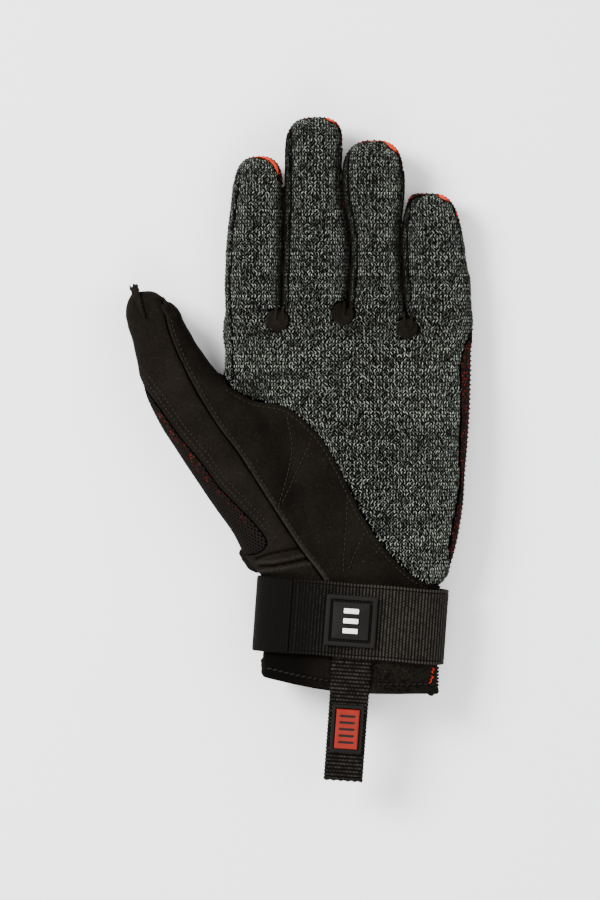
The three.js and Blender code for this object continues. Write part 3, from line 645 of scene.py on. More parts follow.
def make_mesh(name: str, points: np.ndarray, faces: np.ndarray, weave: Optional[np.ndarray] = None,
              smooth: bool = True) -> bpy.types.Object:
    """Adds a mesh object at the origin.

    Args:
        name: name of the piece.
        points: its points in millimetres.
        faces: rows of three or four point numbers.
        weave: place of each point along and across the cloth, in millimetres.
        smooth: whether its faces are shaded smooth.

    Returns:
        The object.
    """
    data = bpy.data.meshes.new(name)
    corners = faces.shape[1]
    data.vertices.add(len(points))
    data.vertices.foreach_set("co", (points * MM).astype(np.float32).ravel())
    data.loops.add(faces.size)
    data.loops.foreach_set("vertex_index", faces.astype(np.int32).ravel())
    data.polygons.add(len(faces))
    data.polygons.foreach_set("loop_start", np.arange(0, faces.size, corners, dtype=np.int32))
    data.polygons.foreach_set("use_smooth", np.full(len(faces), smooth))
    data.update(calc_edges=True)
    data.validate()
    if weave is not None:
        layer = data.attributes.new("weave", "FLOAT_VECTOR", "POINT")
        spread = np.zeros((len(points), 3), np.float32)
        spread[:, :weave.shape[1]] = weave
        layer.data.foreach_set("vector", spread.ravel())
    piece = bpy.data.objects.new(name, data)
    bpy.context.scene.collection.objects.link(piece)
    return piece


def dress(piece: bpy.types.Object, material: bpy.types.Material, nodes: Sequence[str]) -> None:
    """Gives a piece its material and its place in the frame.

    Args:
        piece: the object.
        material: its finish.
        nodes: CAD nodes that it replaces.
    """
    piece.data.materials.append(material)
    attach(piece, "root")
    if nodes:
        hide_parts(*nodes)
    faces = len(piece.data.polygons)
    LOG.info("%s: %d faces, stands for %s", piece.name, faces, ", ".join(nodes) or "itself")


# Finishes


class Wire:
    """A value in a material that can be reckoned with like a number."""

    def __init__(self, bench: "Bench", socket: bpy.types.NodeSocket) -> None:
        """Keeps the socket that gives the value."""
        self.bench = bench
        self.socket = socket

    def __add__(self, other: "Value") -> "Wire":
        """This value and another one."""
        return self.bench.math("ADD", self, other)

    def __sub__(self, other: "Value") -> "Wire":
        """This value less another one."""
        return self.bench.math("SUBTRACT", self, other)

    def __mul__(self, other: "Value") -> "Wire":
        """This value times another one."""
        return self.bench.math("MULTIPLY", self, other)

    def __truediv__(self, other: "Value") -> "Wire":
        """This value shared by another one."""
        return self.bench.math("DIVIDE", self, other)

    def floor(self) -> "Wire":
        """The whole number below."""
        return self.bench.math("FLOOR", self)

    def part(self) -> "Wire":
        """What is above the whole number, less one half."""
        return self.bench.math("FRACT", self) - 0.5

    def sine(self) -> "Wire":
        """The sine of this value in radians."""
        return self.bench.math("SINE", self)

    def size(self) -> "Wire":
        """The value without its sign."""
        return self.bench.math("ABSOLUTE", self)


Value = Wire | float
Colour = tuple[float, float, float]


class Bench:
    """Builds the nodes of one material."""

    def __init__(self, name: str) -> None:
        """Starts a material with only its output."""
        self.material = bpy.data.materials.new(name)
        self.material.use_nodes = True
        self.tree = self.material.node_tree
        self.tree.nodes.clear()

    def node(self, kind: str, inputs: Optional[dict[str, "Value | Colour | bpy.types.NodeSocket"]] = None,
             **settings: object) -> bpy.types.Node:
        """Adds one node.

        Args:
            kind: Blender's name of the node.
            inputs: values or wires for its sockets.
            settings: its own options.

        Returns:
            The node.
        """
        made = self.tree.nodes.new(kind)
        for key, value in settings.items():
            setattr(made, key, value)
        for key, value in (inputs or {}).items():
            self.feed(made.inputs[key], value)
        return made

    def feed(self, socket: bpy.types.NodeSocket, value: "Value | Colour") -> None:
        """Links a wire to a socket, or sets the socket's own value."""
        if isinstance(value, Wire):
            self.tree.links.new(value.socket, socket)
        elif isinstance(value, bpy.types.NodeSocket):
            self.tree.links.new(value, socket)
        elif isinstance(value, tuple) and socket.type == "RGBA":
            socket.default_value = (*value, 1.0)
        else:
            socket.default_value = value

    def math(self, operation: str, *values: "Value") -> Wire:
        """Adds one Math node."""
        made = self.tree.nodes.new("ShaderNodeMath")
        made.operation = operation
        for socket, value in zip(made.inputs, values):
            self.feed(socket, value)
        return Wire(self, made.outputs[0])

    def weave(self) -> tuple[Wire, Wire, Wire]:
        """Place on the cloth: across, along, and the third value of the piece."""
        place = self.node("ShaderNodeAttribute", attribute_name="weave")
        split = self.node("ShaderNodeSeparateXYZ", {"Vector": place.outputs["Vector"]})
        return tuple(Wire(self, split.outputs[axis]) for axis in "XYZ")

    def point(self, x: "Value", y: "Value", z: "Value" = 0.0) -> Wire:
        """A vector of three values."""
        made = self.node("ShaderNodeCombineXYZ", {"X": x, "Y": y, "Z": z})
        return Wire(self, made.outputs["Vector"])

    def place(self) -> Wire:
        """Place in the frame of the part, in metres."""
        return Wire(self, self.node("ShaderNodeTexCoord").outputs["Object"])

    def noise(self, vector: Wire, scale: float, detail: float = 2.0, roughness: float = 0.5) -> Wire:
        """Smooth noise from 0 to 1."""
        made = self.node("ShaderNodeTexNoise", {
            "Vector": vector, "Scale": scale, "Detail": detail, "Roughness": roughness,
        })
        return Wire(self, made.outputs["Fac"])

    def chance(self, vector: Wire) -> Wire:
        """A random value for each whole place."""
        return Wire(self, self.node("ShaderNodeTexWhiteNoise", {"Vector": vector}).outputs["Value"])

    def ramp(self, value: "Value", low: float, high: float, start: float = 0.0, end: float = 1.0) -> Wire:
        """Goes smoothly from start at low to end at high."""
        made = self.node("ShaderNodeMapRange", {
            "Value": value, "From Min": low, "From Max": high, "To Min": start, "To Max": end,
        }, interpolation_type="SMOOTHSTEP")
        return Wire(self, made.outputs["Result"])

    def blend(self, share: "Value", a: "Wire | Colour", b: "Wire | Colour") -> Wire:
        """Mixes two colours."""
        made = self.node("ShaderNodeMix", data_type="RGBA")
        sockets = [one for one in made.inputs if one.enabled]
        for socket, value in zip(sockets, (share, a, b)):
            self.feed(socket, value)
        return Wire(self, next(one for one in made.outputs if one.enabled))

    def finish(self, colour: "Wire | Colour", roughness: "Value", height: Optional[Wire] = None,
               depth: float = 0.3, specular: float = 0.5) -> bpy.types.Material:
        """Adds the shader.

        Args:
            colour: base colour.
            roughness: roughness.
            height: bump height from 0 to 1.
            depth: how deep the bump is, in millimetres.
            specular: specular level.

        Returns:
            The material.
        """
        shader = self.node("ShaderNodeBsdfPrincipled", {
            "Base Color": colour, "Roughness": roughness, "Specular IOR Level": specular,
        })
        if height is not None:
            bump = self.node("ShaderNodeBump", {"Height": height, "Strength": 1.0, "Distance": depth * MM})
            self.tree.links.new(bump.outputs["Normal"], shader.inputs["Normal"])
        output = self.node("ShaderNodeOutputMaterial")
        self.tree.links.new(shader.outputs["BSDF"], output.inputs["Surface"])
        return self.material


@dataclass(frozen=True)
class KnitFinish:
    """Black ground of the heathered knit, with faint loops between the strands."""

    dark: Colour = (0.0012, 0.001, 0.001)
    faint: Colour = (0.014, 0.0145, 0.013)

    def build(self) -> bpy.types.Material:
        """Makes the material."""
        bench = Bench("knit_ground")
        u, v, _ = bench.weave()
        place = bench.point(u, v)
        x, y = (u / KNIT_COLUMN + 0.5).part(), (v / KNIT_ROW + 0.5).part()
        loops = bench.ramp(x.size(), 0.32, 0.1) * bench.ramp(y.size(), 0.5, 0.25)
        fibre = bench.ramp(bench.noise(place, 1.7, 3.0), 0.42, 0.72)
        colour = bench.blend(fibre * loops, self.dark, self.faint)
        return bench.finish(colour, 0.95, loops + fibre * 0.5, 0.3, specular=0.01)


@dataclass(frozen=True)
class StrandFinish:
    """Grey-green yarn, each strand with its own brightness, which also holds painted shade."""

    dim: Colour = (0.006, 0.0062, 0.0056)
    light: Colour = (0.3, 0.33, 0.283)

    def build(self) -> bpy.types.Material:
        """Makes the material."""
        bench = Bench("knit_strands")
        u, v, bright = bench.weave()
        fibre = bench.noise(bench.point(u, v, bright * 90.0), 2.6, 2.0)
        tone = bright * bench.ramp(fibre, 0.2, 0.8, 0.6, 1.15)
        colour = bench.blend(tone, self.dim, self.light)
        return bench.finish(colour, 0.9, fibre, 0.08, specular=0.03)


@dataclass(frozen=True)
class SuedeFinish:
    """Matt synthetic suede with a short nap and a few light fibres, with painted highlights and painted shade
    where a piece asks for them.
    """

    name: str = "suede"
    base: Colour = (0.0036, 0.0028, 0.0021)
    # The second colour is the lighter tone of the mottle, which painted shade pulls back towards the first;
    # the third colour is that of painted highlights.
    tone_and_painted_light: Colour = (0.0075, 0.0062, 0.0048)
    painted_highlight: Colour = (0.021, 0.018, 0.0145)
    fibre: Colour = (0.06, 0.058, 0.05)
    painted_shade_left: bool = False

    def build(self) -> bpy.types.Material:
        """Makes the material."""
        bench = Bench(self.name)
        place = bench.place()
        cloud = bench.ramp(bench.noise(place, 45.0, 4.0, 0.6), 0.35, 0.7)
        nap = bench.noise(place, 900.0, 3.0, 0.7)
        grain = bench.noise(place, 2600.0, 2.0, 0.6)
        speck = bench.ramp(bench.noise(place, 1500.0, 1.0), 0.72, 0.8)
        tone = cloud * 0.6 + bench.ramp(nap, 0.35, 0.7) * 0.5
        # The third weave value is painted light: above zero it lays on a painted highlight, below zero it
        # darkens the tone as painted shade.
        painted_highlight_and_shade = bench.weave()[2]
        painted_highlight = painted_highlight_and_shade * bench.ramp(nap, 0.3, 0.6, 0.3, 0.8)
        tone = tone * bench.ramp(painted_highlight_and_shade, -0.5, 0.0, 0.0, 1.0)
        # Painted shade: the tone and the light fibres darken towards the left of the cuff.
        if self.painted_shade_left:
            side = Wire(bench, bench.node("ShaderNodeSeparateXYZ", {"Vector": place}).outputs["X"])
            lit = bench.ramp(side, -0.022, 0.012, 0.03, 1.0)
            tone = tone * lit
            speck = speck * lit
        colour = bench.blend(tone, self.base, self.tone_and_painted_light)
        colour = bench.blend(painted_highlight, colour, self.painted_highlight)
        colour = bench.blend(speck * 0.35, colour, self.fibre)
        return bench.finish(colour, 0.95, nap * 0.7 + grain * 0.5, 0.12, specular=0.02)


@dataclass(frozen=True)
class AirMeshFinish:
    """Black air mesh: rows of round holes over an orange layer."""

    name: str
    glow: float
    patch: bool = False
    banded: bool = False
    dark: Colour = (0.0008, 0.0007, 0.0006)
    yarn: Colour = (0.0085, 0.0071, 0.0058)
    layer: Colour = (0.5, 0.032, 0.012)
    edging: Colour = (0.6, 0.045, 0.016)

    def build(self) -> bpy.types.Material:
        """Makes the material."""
        bench = Bench(self.name)
        u, v, edge = bench.weave()
        rows = v / (MESH_PITCH * MESH_ROW)
        row = rows.floor()
        shift = bench.math("MODULO", row, 2.0) * 0.5
        columns = u / MESH_PITCH + shift
        x, y = columns.part(), rows.part()
        hole = bench.math("SQRT", x * x * HOLE_ACROSS + y * y * HOLE_ALONG)
        open_share = bench.ramp(hole, 0.36, 0.22)
        sparse = 0.5 if self.banded else 0.25
        seen = bench.ramp(bench.chance(bench.point(columns.floor(), row, 3.0)), sparse, 0.95, 0.05, 1.0)
        drift = bench.ramp(bench.noise(bench.point(u, v), 0.05, 2.0), 0.3, 0.7, 0.7, 1.0)
        fibre = bench.noise(bench.point(u, v), 3.0, 2.0)
        ridge = bench.ramp(hole, 0.34, 0.62)
        yarn = bench.blend(ridge * (fibre + 0.3), self.dark, self.yarn)
        lit = open_share * seen * (edge if self.banded else drift) * self.glow
        colour = bench.blend(lit, yarn, self.layer)
        if self.patch:
            frayed = edge + (bench.noise(bench.point(u, v), 1.4, 2.0) - 0.5) * 0.9
            near = bench.ramp(frayed, 0.2, -0.1)
            colour = bench.blend(near, colour, self.edging)
        height = bench.ramp(hole, 0.2, 0.5) + fibre * 0.25
        return bench.finish(colour, 0.9, height, 0.45, specular=0.03)


@dataclass(frozen=True)
class WebbingFinish:
    """Matt black webbing yarn with a little shine on the crowns."""

    name: str = "webbing"
    dark: Colour = (0.001, 0.0008, 0.0006)
    crown: Colour = (0.043, 0.0372, 0.0308)

    def build(self) -> bpy.types.Material:
        """Makes the material."""
        bench = Bench(self.name)
        u, v, height = bench.weave()
        fibre = bench.noise(bench.point(u * 3.0, v), 2.2, 3.0, 0.6)
        tone = bench.ramp(height, 0.2, 0.95) * bench.ramp(fibre, 0.25, 0.75, 0.35, 1.0)
        colour = bench.blend(tone, self.dark, self.crown)
        return bench.finish(colour, 0.75, fibre, 0.1, specular=0.04)


@dataclass(frozen=True)
class RubberFinish:
    """Moulded rubber with a faint grain."""

    name: str
    base: Colour
    roughness: float = 0.55

    def build(self) -> bpy.types.Material:
        """Makes the material."""
        bench = Bench(self.name)
        place = bench.place()
        cloud = bench.noise(place, 120.0, 3.0)
        grain = bench.noise(place, 1800.0, 2.0)
        light = tuple(min(1.0, value * 1.25) for value in self.base)
        deep = tuple(value * 0.82 for value in self.base)
        colour = bench.blend(cloud, deep, light)
        rough = bench.ramp(grain, 0.3, 0.7, self.roughness - 0.06, self.roughness + 0.08)
        return bench.finish(colour, rough, grain, 0.03, specular=0.1)


@dataclass(frozen=True)
class ThreadFinish:
    """Sewing thread with its twist."""

    name: str
    base: Colour

    def build(self) -> bpy.types.Material:
        """Makes the material."""
        bench = Bench(self.name)
        u, v, _ = bench.weave()
        twist = ((u * 9.0 + v * 9.0).sine() + 1.0) * 0.5
        deep = tuple(value * 0.45 for value in self.base)
        colour = bench.blend(twist, deep, self.base)
        return bench.finish(colour, 0.75, twist, 0.06, specular=0.05)


# Places of the details, in millimetres


def from_sight(*pairs: tuple[float, float]) -> np.ndarray:
    """Plan points from the frame of the camera, in which one unit is 0.43 mm.

    Args:
        pairs: places across and down the frame.

    Returns:
        A smooth line of plan points through them.
    """
    across, down = SIGHT_MIDDLE
    points = np.array([((x - across) * SIGHT_SCALE, (down - y) * SIGHT_SCALE) for x, y in pairs])
    return smooth_line(points, 5) if len(points) > 2 else points


@dataclass(frozen=True)
class Pad:
    """Round pad between two fingers, with the loop where the strip ends."""

    name: str
    centre: tuple[float, float]
    radius: float
    loop: tuple[float, float]
    loop_radius: float = 1.9


@dataclass(frozen=True)
class Ridge:
    """A raised or sunk line of a panel."""

    line: np.ndarray
    height: float
    width: float


@dataclass(frozen=True)
class Roll:
    """A rolled end of a seam: its line in plan, its radius and about how high it lies."""

    line: np.ndarray
    radius: float
    height: float
    lift: float = -0.7


@dataclass(frozen=True)
class SewnRow:
    """A row of stitches along a line."""

    line: np.ndarray
    pitch: float = 2.2
    length: float = 1.5
    width: float = 0.42


FLANGE_WIDTH = 2.9
HEM_STITCH_IN = 4.3
DEEPEST_RELIEF = 1.0
EDGE_PITCH = 2.05
KNIT_DIP = (-39.5, 23.5)
PADS = (
    Pad("index_middle", (-29.2, 55.5), 5.2, (-28.2, 56.5)),
    Pad("middle_ring", (-0.9, 58.5), 5.2, (1.2, 58.5)),
    Pad("ring_little", (26.7, 52.0), 4.9, (27.0, 53.5)),
)
KNIT_CREASES = (
    Ridge(from_sight((233, 355), (255, 353), (285, 356)), -0.45, 1.0),
    Ridge(from_sight((236, 372), (262, 377), (300, 380)), -0.35, 1.2),
    Ridge(from_sight((292, 155), (312, 157), (336, 156)), -0.4, 0.8),
    Ridge(from_sight((290, 168), (312, 170), (338, 168)), -0.35, 0.8),
    Ridge(from_sight((352, 181), (372, 180), (394, 182)), -0.4, 0.9),
    Ridge(from_sight((352, 195), (375, 194), (398, 196)), -0.3, 0.9),
    Ridge(from_sight((410, 250), (430, 246), (458, 240)), -0.35, 1.0),
    Ridge(from_sight((412, 232), (434, 228), (455, 224)), -0.3, 1.0),
    Ridge(from_sight((236, 178), (250, 176), (266, 184)), -0.35, 0.9),
    Ridge(from_sight((446, 378), (458, 384), (470, 390)), 0.9, 2.4),
)
GLOW_LINE = from_sight((160, 413), (174, 436), (186, 450), (198, 465), (213, 486), (234, 509), (256, 535))
CUFF_LEFT_EDGE = from_sight((257, 657), (258, 664), (260, 671), (265, 677))
CUFF_RIGHT_EDGE = from_sight((435, 668), (434, 675), (433, 682), (431, 690))
THENAR_LOBE = from_sight((171, 304), (176, 309), (179, 315))
THENAR_LOBE_EDGE = from_sight((163.5, 303), (164.2, 309), (166.8, 315), (170.3, 319), (174, 318))
GUSSET_LOBE = from_sight((243, 548), (242, 555), (245, 563), (251, 569), (258, 574))
ROLLS = (
    Roll(THENAR_LOBE_EDGE, 0.8, 26.0, 0.35),
    Roll(GUSSET_LOBE, 1.9, 13.0, 0.1),
    Roll(CUFF_LEFT_EDGE, 1.7, 14.0),
    Roll(from_sight((423, 693), (429, 693), (433, 688)), 1.3, 13.0, -0.5),
)
THENAR_ROWS = (
    SewnRow(from_sight((287, 417), (292, 445), (290, 463), (283, 491), (278, 507))),
    SewnRow(from_sight((310, 443), (304, 456), (295, 475), (286, 495), (279, 507))),
    SewnRow(from_sight((347, 496), (346, 525), (344, 549), (343, 574))),
    SewnRow(from_sight((364, 532), (358, 545), (352, 559), (346, 574))),
)
OUTER_FOLDS = (
    Ridge(from_sight((257, 558), (267, 554.3), (277, 552), (290, 549.3), (300, 547.5)), -1.3, 0.5),
    Ridge(from_sight((261, 565.5), (273, 565), (288, 562.3), (300, 559.8), (310, 557.5)), -1.3, 0.5),
    Ridge(from_sight((258, 562.8), (272, 562), (286, 559.4), (300, 556), (308, 554)), 0.9, 0.8),
    Ridge(from_sight((262, 571), (276, 569.5), (290, 567.2), (303, 564.4), (314, 562.5)), 0.6, 0.9),
    Ridge(from_sight((143, 308), (146, 314), (150, 321)), -0.6, 0.7),
    Ridge(from_sight((149, 305), (151, 312)), -0.5, 0.6),
)
FOLD_STITCHES = SewnRow(from_sight((272, 568.8), (284, 567.2), (296, 565), (307, 563.2)), 1.9, 1.1, 0.4)
TIP_EDGES = {
    "index": Table("angle inset orange", [
        (-180, -1, 0), (120, -0.4, 0), (104, 0.4, 0.3), (88, 0.9, 0.9), (65, 1.9, 1.3), (45, 2.3, 1.3),
        (32, 2.1, 0.4), (26, 1.9, 0), (10, 1.2, 0), (-20, -0.5, 0), (-90, -1, 0),
    ]),
    "middle": Table("angle inset orange", [
        (-180, -1, 0), (120, -0.3, 0), (108, 0.3, 0.3), (96, 0.2, 0), (74, 0.6, 0), (66, 1.2, 1.0),
        (56, 1.3, 1.0), (48, 1.0, 0), (20, 0.8, 0), (-10, 0.4, 0), (-30, -0.6, 0), (-90, -1, 0),
    ]),
    "ring": Table("angle inset orange", [
        (-180, -1, 0), (125, -0.3, 0), (112, 0.4, 0.4), (80, 0.5, 0.5), (66, 1.0, 0.8), (58, 1.9, 1.6),
        (45, 1.9, 1.5), (37, 1.2, 0.3), (30, 1.0, 0), (10, 0.9, 0), (-8, 0.4, 0), (-25, -0.6, 0),
        (-90, -1, 0),
    ]),
    "little": Table("angle inset orange", [
        (-180, -1, 0), (128, -0.3, -0.6), (118, 0.3, -0.5), (111, 0.4, 0), (103, 0.4, 0.3), (80, 0.3, 0),
        (72, 1.6, 1.4), (58, 1.7, 1.3), (48, 0.9, 0), (28, 0.9, 0), (22, 1.0, 0.5), (14, 0.9, 0.4),
        (8, 0.8, 0), (-70, 0.8, 0), (-90, -1, 0),
    ]),
}
for table in TIP_EDGES.values():
    table.rows = table.rows[np.argsort(table.rows[:, 0])]


# Panels of the glove


class Side(Enum):
    """Which way the cloth of a piece is laid out for its weave."""

    HAND_FRONT = "hand front"
    HAND_BACK = "hand back"
    THUMB = "thumb"


class Weaver:
    """Gives each point of the glove its place on the flat cloth, in millimetres."""

    thumb_heading: float = math.radians(122.0)

    @staticmethod
    def hand(points: np.ndarray, front: bool) -> np.ndarray:
        """Places on the cloth of the hand: across it from the middle of each finger, and along it.

        Args:
            points: points of the piece.
            front: whether the piece is on the front of the hand.

        Returns:
            Two values for each point.
        """
        x, y, z = points.T
        column = finger_number(x, y)
        along = np.clip(y, SIZES.hand_y(-0.69), SIZES.hand_y(1.035)) / np.where(
            y > 0, SIZES.crotch_y, SIZES.strap_below)
        palm_top = PALM_SECTIONS.read("top", along) * SIZES.palm_depth
        palm_low = np.maximum(PALM_SECTIONS.read("bottom", along) * SIZES.palm_depth, 0)
        across, up = np.zeros(len(x)), np.zeros(len(x))
        share = np.clip((y - SIZES.crotch_y + 6) / 12, 0, 1)
        if not front:
            edge = PALM_SECTIONS.read("right", along) * SIZES.half_hand
            wrapped = (x > edge / 2) & (z > SIZES.palm_depth / 2)
            x = np.where(wrapped, 2 * edge - x, x)
        for number, finger in enumerate(FINGERS):
            mine = column == number
            middle = (edge_x(finger.left, y) + edge_x(finger.right, y)) / 2
            swell = np.where(y > SIZES.crotch_y, tip_swell(finger, y), 1.0)
            full = finger_height(y) + SIZES.finger_depth / 2 * (1 if front else -1)
            local = finger_height(y) + SIZES.finger_depth / 2 * swell * (1 if front else -1)
            flat = palm_top if front else palm_low
            start = flat * (1 - share) + local * share
            drop = np.maximum((start - z) if front else (z - start), 0)
            across[mine] = (x + np.sign(x - middle) * drop * share + np.sign(x) * drop * (1 - share))[mine]
            up[mine] = (y + np.abs(full - local))[mine]
        return np.column_stack([across, up])

    @classmethod
    def thumb(cls, points: np.ndarray) -> np.ndarray:
        """Places on the cloth of the thumb: along its axis and square to it."""
        x, y, z = points.T
        cosine, sine = math.cos(cls.thumb_heading), math.sin(cls.thumb_heading)
        return np.column_stack([x * sine - y * cosine + z * 0.8, x * cosine + y * sine])

    @classmethod
    def place(cls, points: np.ndarray, side: Side) -> np.ndarray:
        """Places on the cloth of a piece."""
        if side is Side.THUMB:
            return cls.thumb(points)
        return cls.hand(points, side is Side.HAND_FRONT)


Field = Callable[[Space], np.ndarray]


@dataclass(frozen=True)
class FlatCut:
    """Flat size to which a sheet is cut before it is sewn, in metres and square metres."""

    width: float
    length: float
    area: Optional[float] = None
    held: str = "stretched"

    def declare(self, piece: bpy.types.Object) -> None:
        """Does nothing with the piece: no sheet is declared here."""


FLAT_CUTS = {
    "back_panel": FlatCut(0.16, 0.27, 0.027),
    "palm_knit": FlatCut(0.125, 0.21, 0.0153),
    "thenar_panel": FlatCut(0.09, 0.15, 0.005),
    "thumb_outer_panel": FlatCut(0.05, 0.17, 0.0035),
    "thumb_mesh_gusset": FlatCut(0.028, 0.09, 0.00154),
    "cuff_front": FlatCut(0.09, 0.036, 0.0026),
    "web_pad_index_middle": FlatCut(0.012, 0.012, 0.000118),
    "web_pad_middle_ring": FlatCut(0.012, 0.012, 0.000123),
    "web_pad_ring_little": FlatCut(0.011, 0.011, 0.0001),
    "finger_side_strip_index_middle": FlatCut(0.013, 0.075, 0.00088),
    "finger_side_strip_middle_ring": FlatCut(0.013, 0.078, 0.00096),
    "finger_side_strip_ring_little": FlatCut(0.012, 0.066, 0.0007),
    "fingertip_patch_index": FlatCut(0.026, 0.026, 0.00049),
    "fingertip_patch_middle": FlatCut(0.026, 0.026, 0.00051),
    "fingertip_patch_ring": FlatCut(0.026, 0.026, 0.00053),
    "fingertip_patch_little": FlatCut(0.026, 0.026, 0.00054),
    "thumb_tip_fold": FlatCut(0.01, 0.014, 0.00013, "folded"),
    "wrist_strap": FlatCut(0.0322, 0.1575),
    "strap_elastic": FlatCut(0.0322, 0.0464),
    "pull_tab": FlatCut(0.0168, 0.071),
}


@dataclass
class Panel:
    """One panel cut from the wall of the glove."""

    name: str
    box: tuple[float, float, float, float]
    region: Field
    slot: str
    side: Side
    relief: Optional[Field] = None
    pitch: float = 0.7
    edge: float = 0.7
    gap: float = 0.12


def bump_along(plan: np.ndarray, line: np.ndarray, width: float) -> np.ndarray:
    """A soft ridge of height 1 along a line in plan."""
    return np.exp(-(line_distance(plan, line) / width) ** 2)


class GloveShell:
    """All cloth and suede panels, cut along their seams from one hollow form."""

    below: float = -3.0
    above: float = 38.0
    pitch: float = 0.7

    def __init__(self) -> None:
        """Builds the form and the seams."""
        left, right, low, high = GLOVE_BOX
        self.space = Space((left, low, self.below), (right, high, self.above), self.pitch)
        self.form = GloveForm(self.space)
        self.creases = [self.crease(name) for name in ("index", "middle", "ring")]
        hem = np.column_stack([
            SIZES.wrist_shift + CUFF_HEM.column("across") * SIZES.wrist_width / 2,
            SIZES.strap_y - SIZES.cuff_below + CUFF_HEM.column("rise") * SIZES.strap_width,
        ])
        self.hem = smooth_line(hem, 6)

    @staticmethod
    def crease(column: str) -> np.ndarray:
        """Line between two fingers, from the crotch to past their tips."""
        y = np.linspace(SIZES.crotch_y - 3, SIZES.crotch_y + SIZES.middle_length, 30)
        return np.column_stack([edge_x(column, y), y])

    # Outlines in plan, each a closed line

    def knit_outline(self) -> np.ndarray:
        """Palm and fingers."""
        return np.vstack([
            PALM_SEAM.points, LITTLE_SIDE_SEAM.points[1:],
            [[SIZES.hand_width, SIZES.crotch_y], [SIZES.hand_width, FAR]], CLEFT.points,
        ])

    def thenar_outline(self) -> np.ndarray:
        """Ball of the thumb and heel of the palm."""
        right = SIZES.half_hand * 1.3
        return np.vstack([
            THUMB_SEAM.reversed(), CLEFT.points[1:], PALM_SEAM.points,
            [[right, PALM_SEAM.points[-1, 1]], [right, SIZES.strap_y],
             [THUMB_SEAM.points[-1, 0], SIZES.strap_y]],
        ])

    def outer_outline(self) -> np.ndarray:
        """Outer half of the thumb."""
        far = -SIZES.thumb_spread * 1.4
        border = MESH_BORDER.points
        return np.vstack([
            border, [[far, border[-1, 1]], [far, SIZES.strap_y], [THUMB_SEAM.points[-1, 0], SIZES.strap_y]],
            THUMB_SEAM.reversed(), [[THUMB_SEAM.points[0, 0], FAR], [far, FAR], [far, border[0, 1]]],
        ])

    def gusset_outline(self) -> np.ndarray:
        """Mesh on the outer side of the thumb."""
        far = -SIZES.thumb_spread * 1.4
        border = MESH_BORDER.points
        return np.vstack([MESH_BORDER.reversed(), [[far, border[0, 1]], [far, border[-1, 1]]]])

    # Regions, each a field that is negative in the region

    @staticmethod
    def over(space: Space, table: Table, fingers: bool) -> np.ndarray:
        """Region above the seam between the front and the back."""
        y = SIZES.hand_y(table.column("along"))
        height = table.column("height") * SIZES.palm_depth
        if fingers:
            more = SIZES.crotch_y + SIZES.middle_length * np.linspace(0, 1, 9)
            y, height = np.append(y[:-1], more), np.append(height[:-1], finger_height(more))
        return np.interp(space.y, y, height) - space.z

    def panel_region(self, outline: np.ndarray, space: Space, fingers: bool = False) -> np.ndarray:
        """Region over an outline and above the seam of the hand or the thumb."""
        table = HAND_SEAM_HEIGHTS if fingers else THUMB_SEAM_HEIGHTS
        plan = polygon_field(space.plan, outline)[:, :, None]
        return np.maximum(plan, self.over(space, table, fingers))

    def cuff(self, space: Space) -> np.ndarray:
        """Front of the cuff under the strap and below it."""
        return np.maximum(space.y - SIZES.strap_y, self.over(space, THUMB_SEAM_HEIGHTS, False))

    def strip(self, number: int, space: Space) -> np.ndarray:
        """Strip on both facing walls of two neighbouring fingers."""
        left, right = FINGERS[number], FINGERS[number + 1]
        crease = edge_x(left.right, space.y)
        halves = []
        for finger, sign in ((left, -1.0), (right, 1.0)):
            middle = (edge_x(finger.left, SIZES.crotch_y) + edge_x(finger.right, SIZES.crotch_y)) / 2
            end = finger.tip_y - SIZES.tip_dome / 2
            side = np.maximum((space.x - middle) * sign, (crease - space.x) * sign)
            band = np.abs(space.z - finger_height(space.y)) - SIZES.strip_depth / 2
            ends = np.maximum(space.y - end, SIZES.hand_y(0.9) - space.y)
            halves.append(np.maximum(np.maximum(side, band), ends))
        return np.minimum(*halves)

    def strips(self, space: Space) -> np.ndarray:
        """All three strips."""
        return np.minimum(np.minimum(self.strip(0, space), self.strip(1, space)), self.strip(2, space))

    def pad(self, number: int, space: Space, grow: float = 0.0) -> np.ndarray:
        """Round pad where two fingers part."""
        centre, radius = PADS[number].centre, PADS[number].radius + grow
        disc = np.hypot(space.x - centre[0], space.y - centre[1]) - radius
        low = float(finger_height(SIZES.crotch_y)) + SIZES.strip_depth / 2
        return np.maximum(disc, low - space.z)

    def pads(self, space: Space) -> np.ndarray:
        """All three pads."""
        return np.minimum(np.minimum(self.pad(0, space), self.pad(1, space)), self.pad(2, space))

    def tip(self, finger: Finger, space: Space) -> np.ndarray:
        """Back of a fingertip and the narrow part of it that shows in front of the silhouette."""
        end = finger.tip_y
        start = end - SIZES.patch_length
        beside = np.maximum(edge_x(finger.left, space.y) - space.x, space.x - edge_x(finger.right, space.y))
        under = space.z - finger_height(space.y)
        shown = self.tip_edges(finger, space.plan)[0][:, :, None]
        return np.maximum(np.maximum(np.minimum(under, shown), start - space.y), beside)

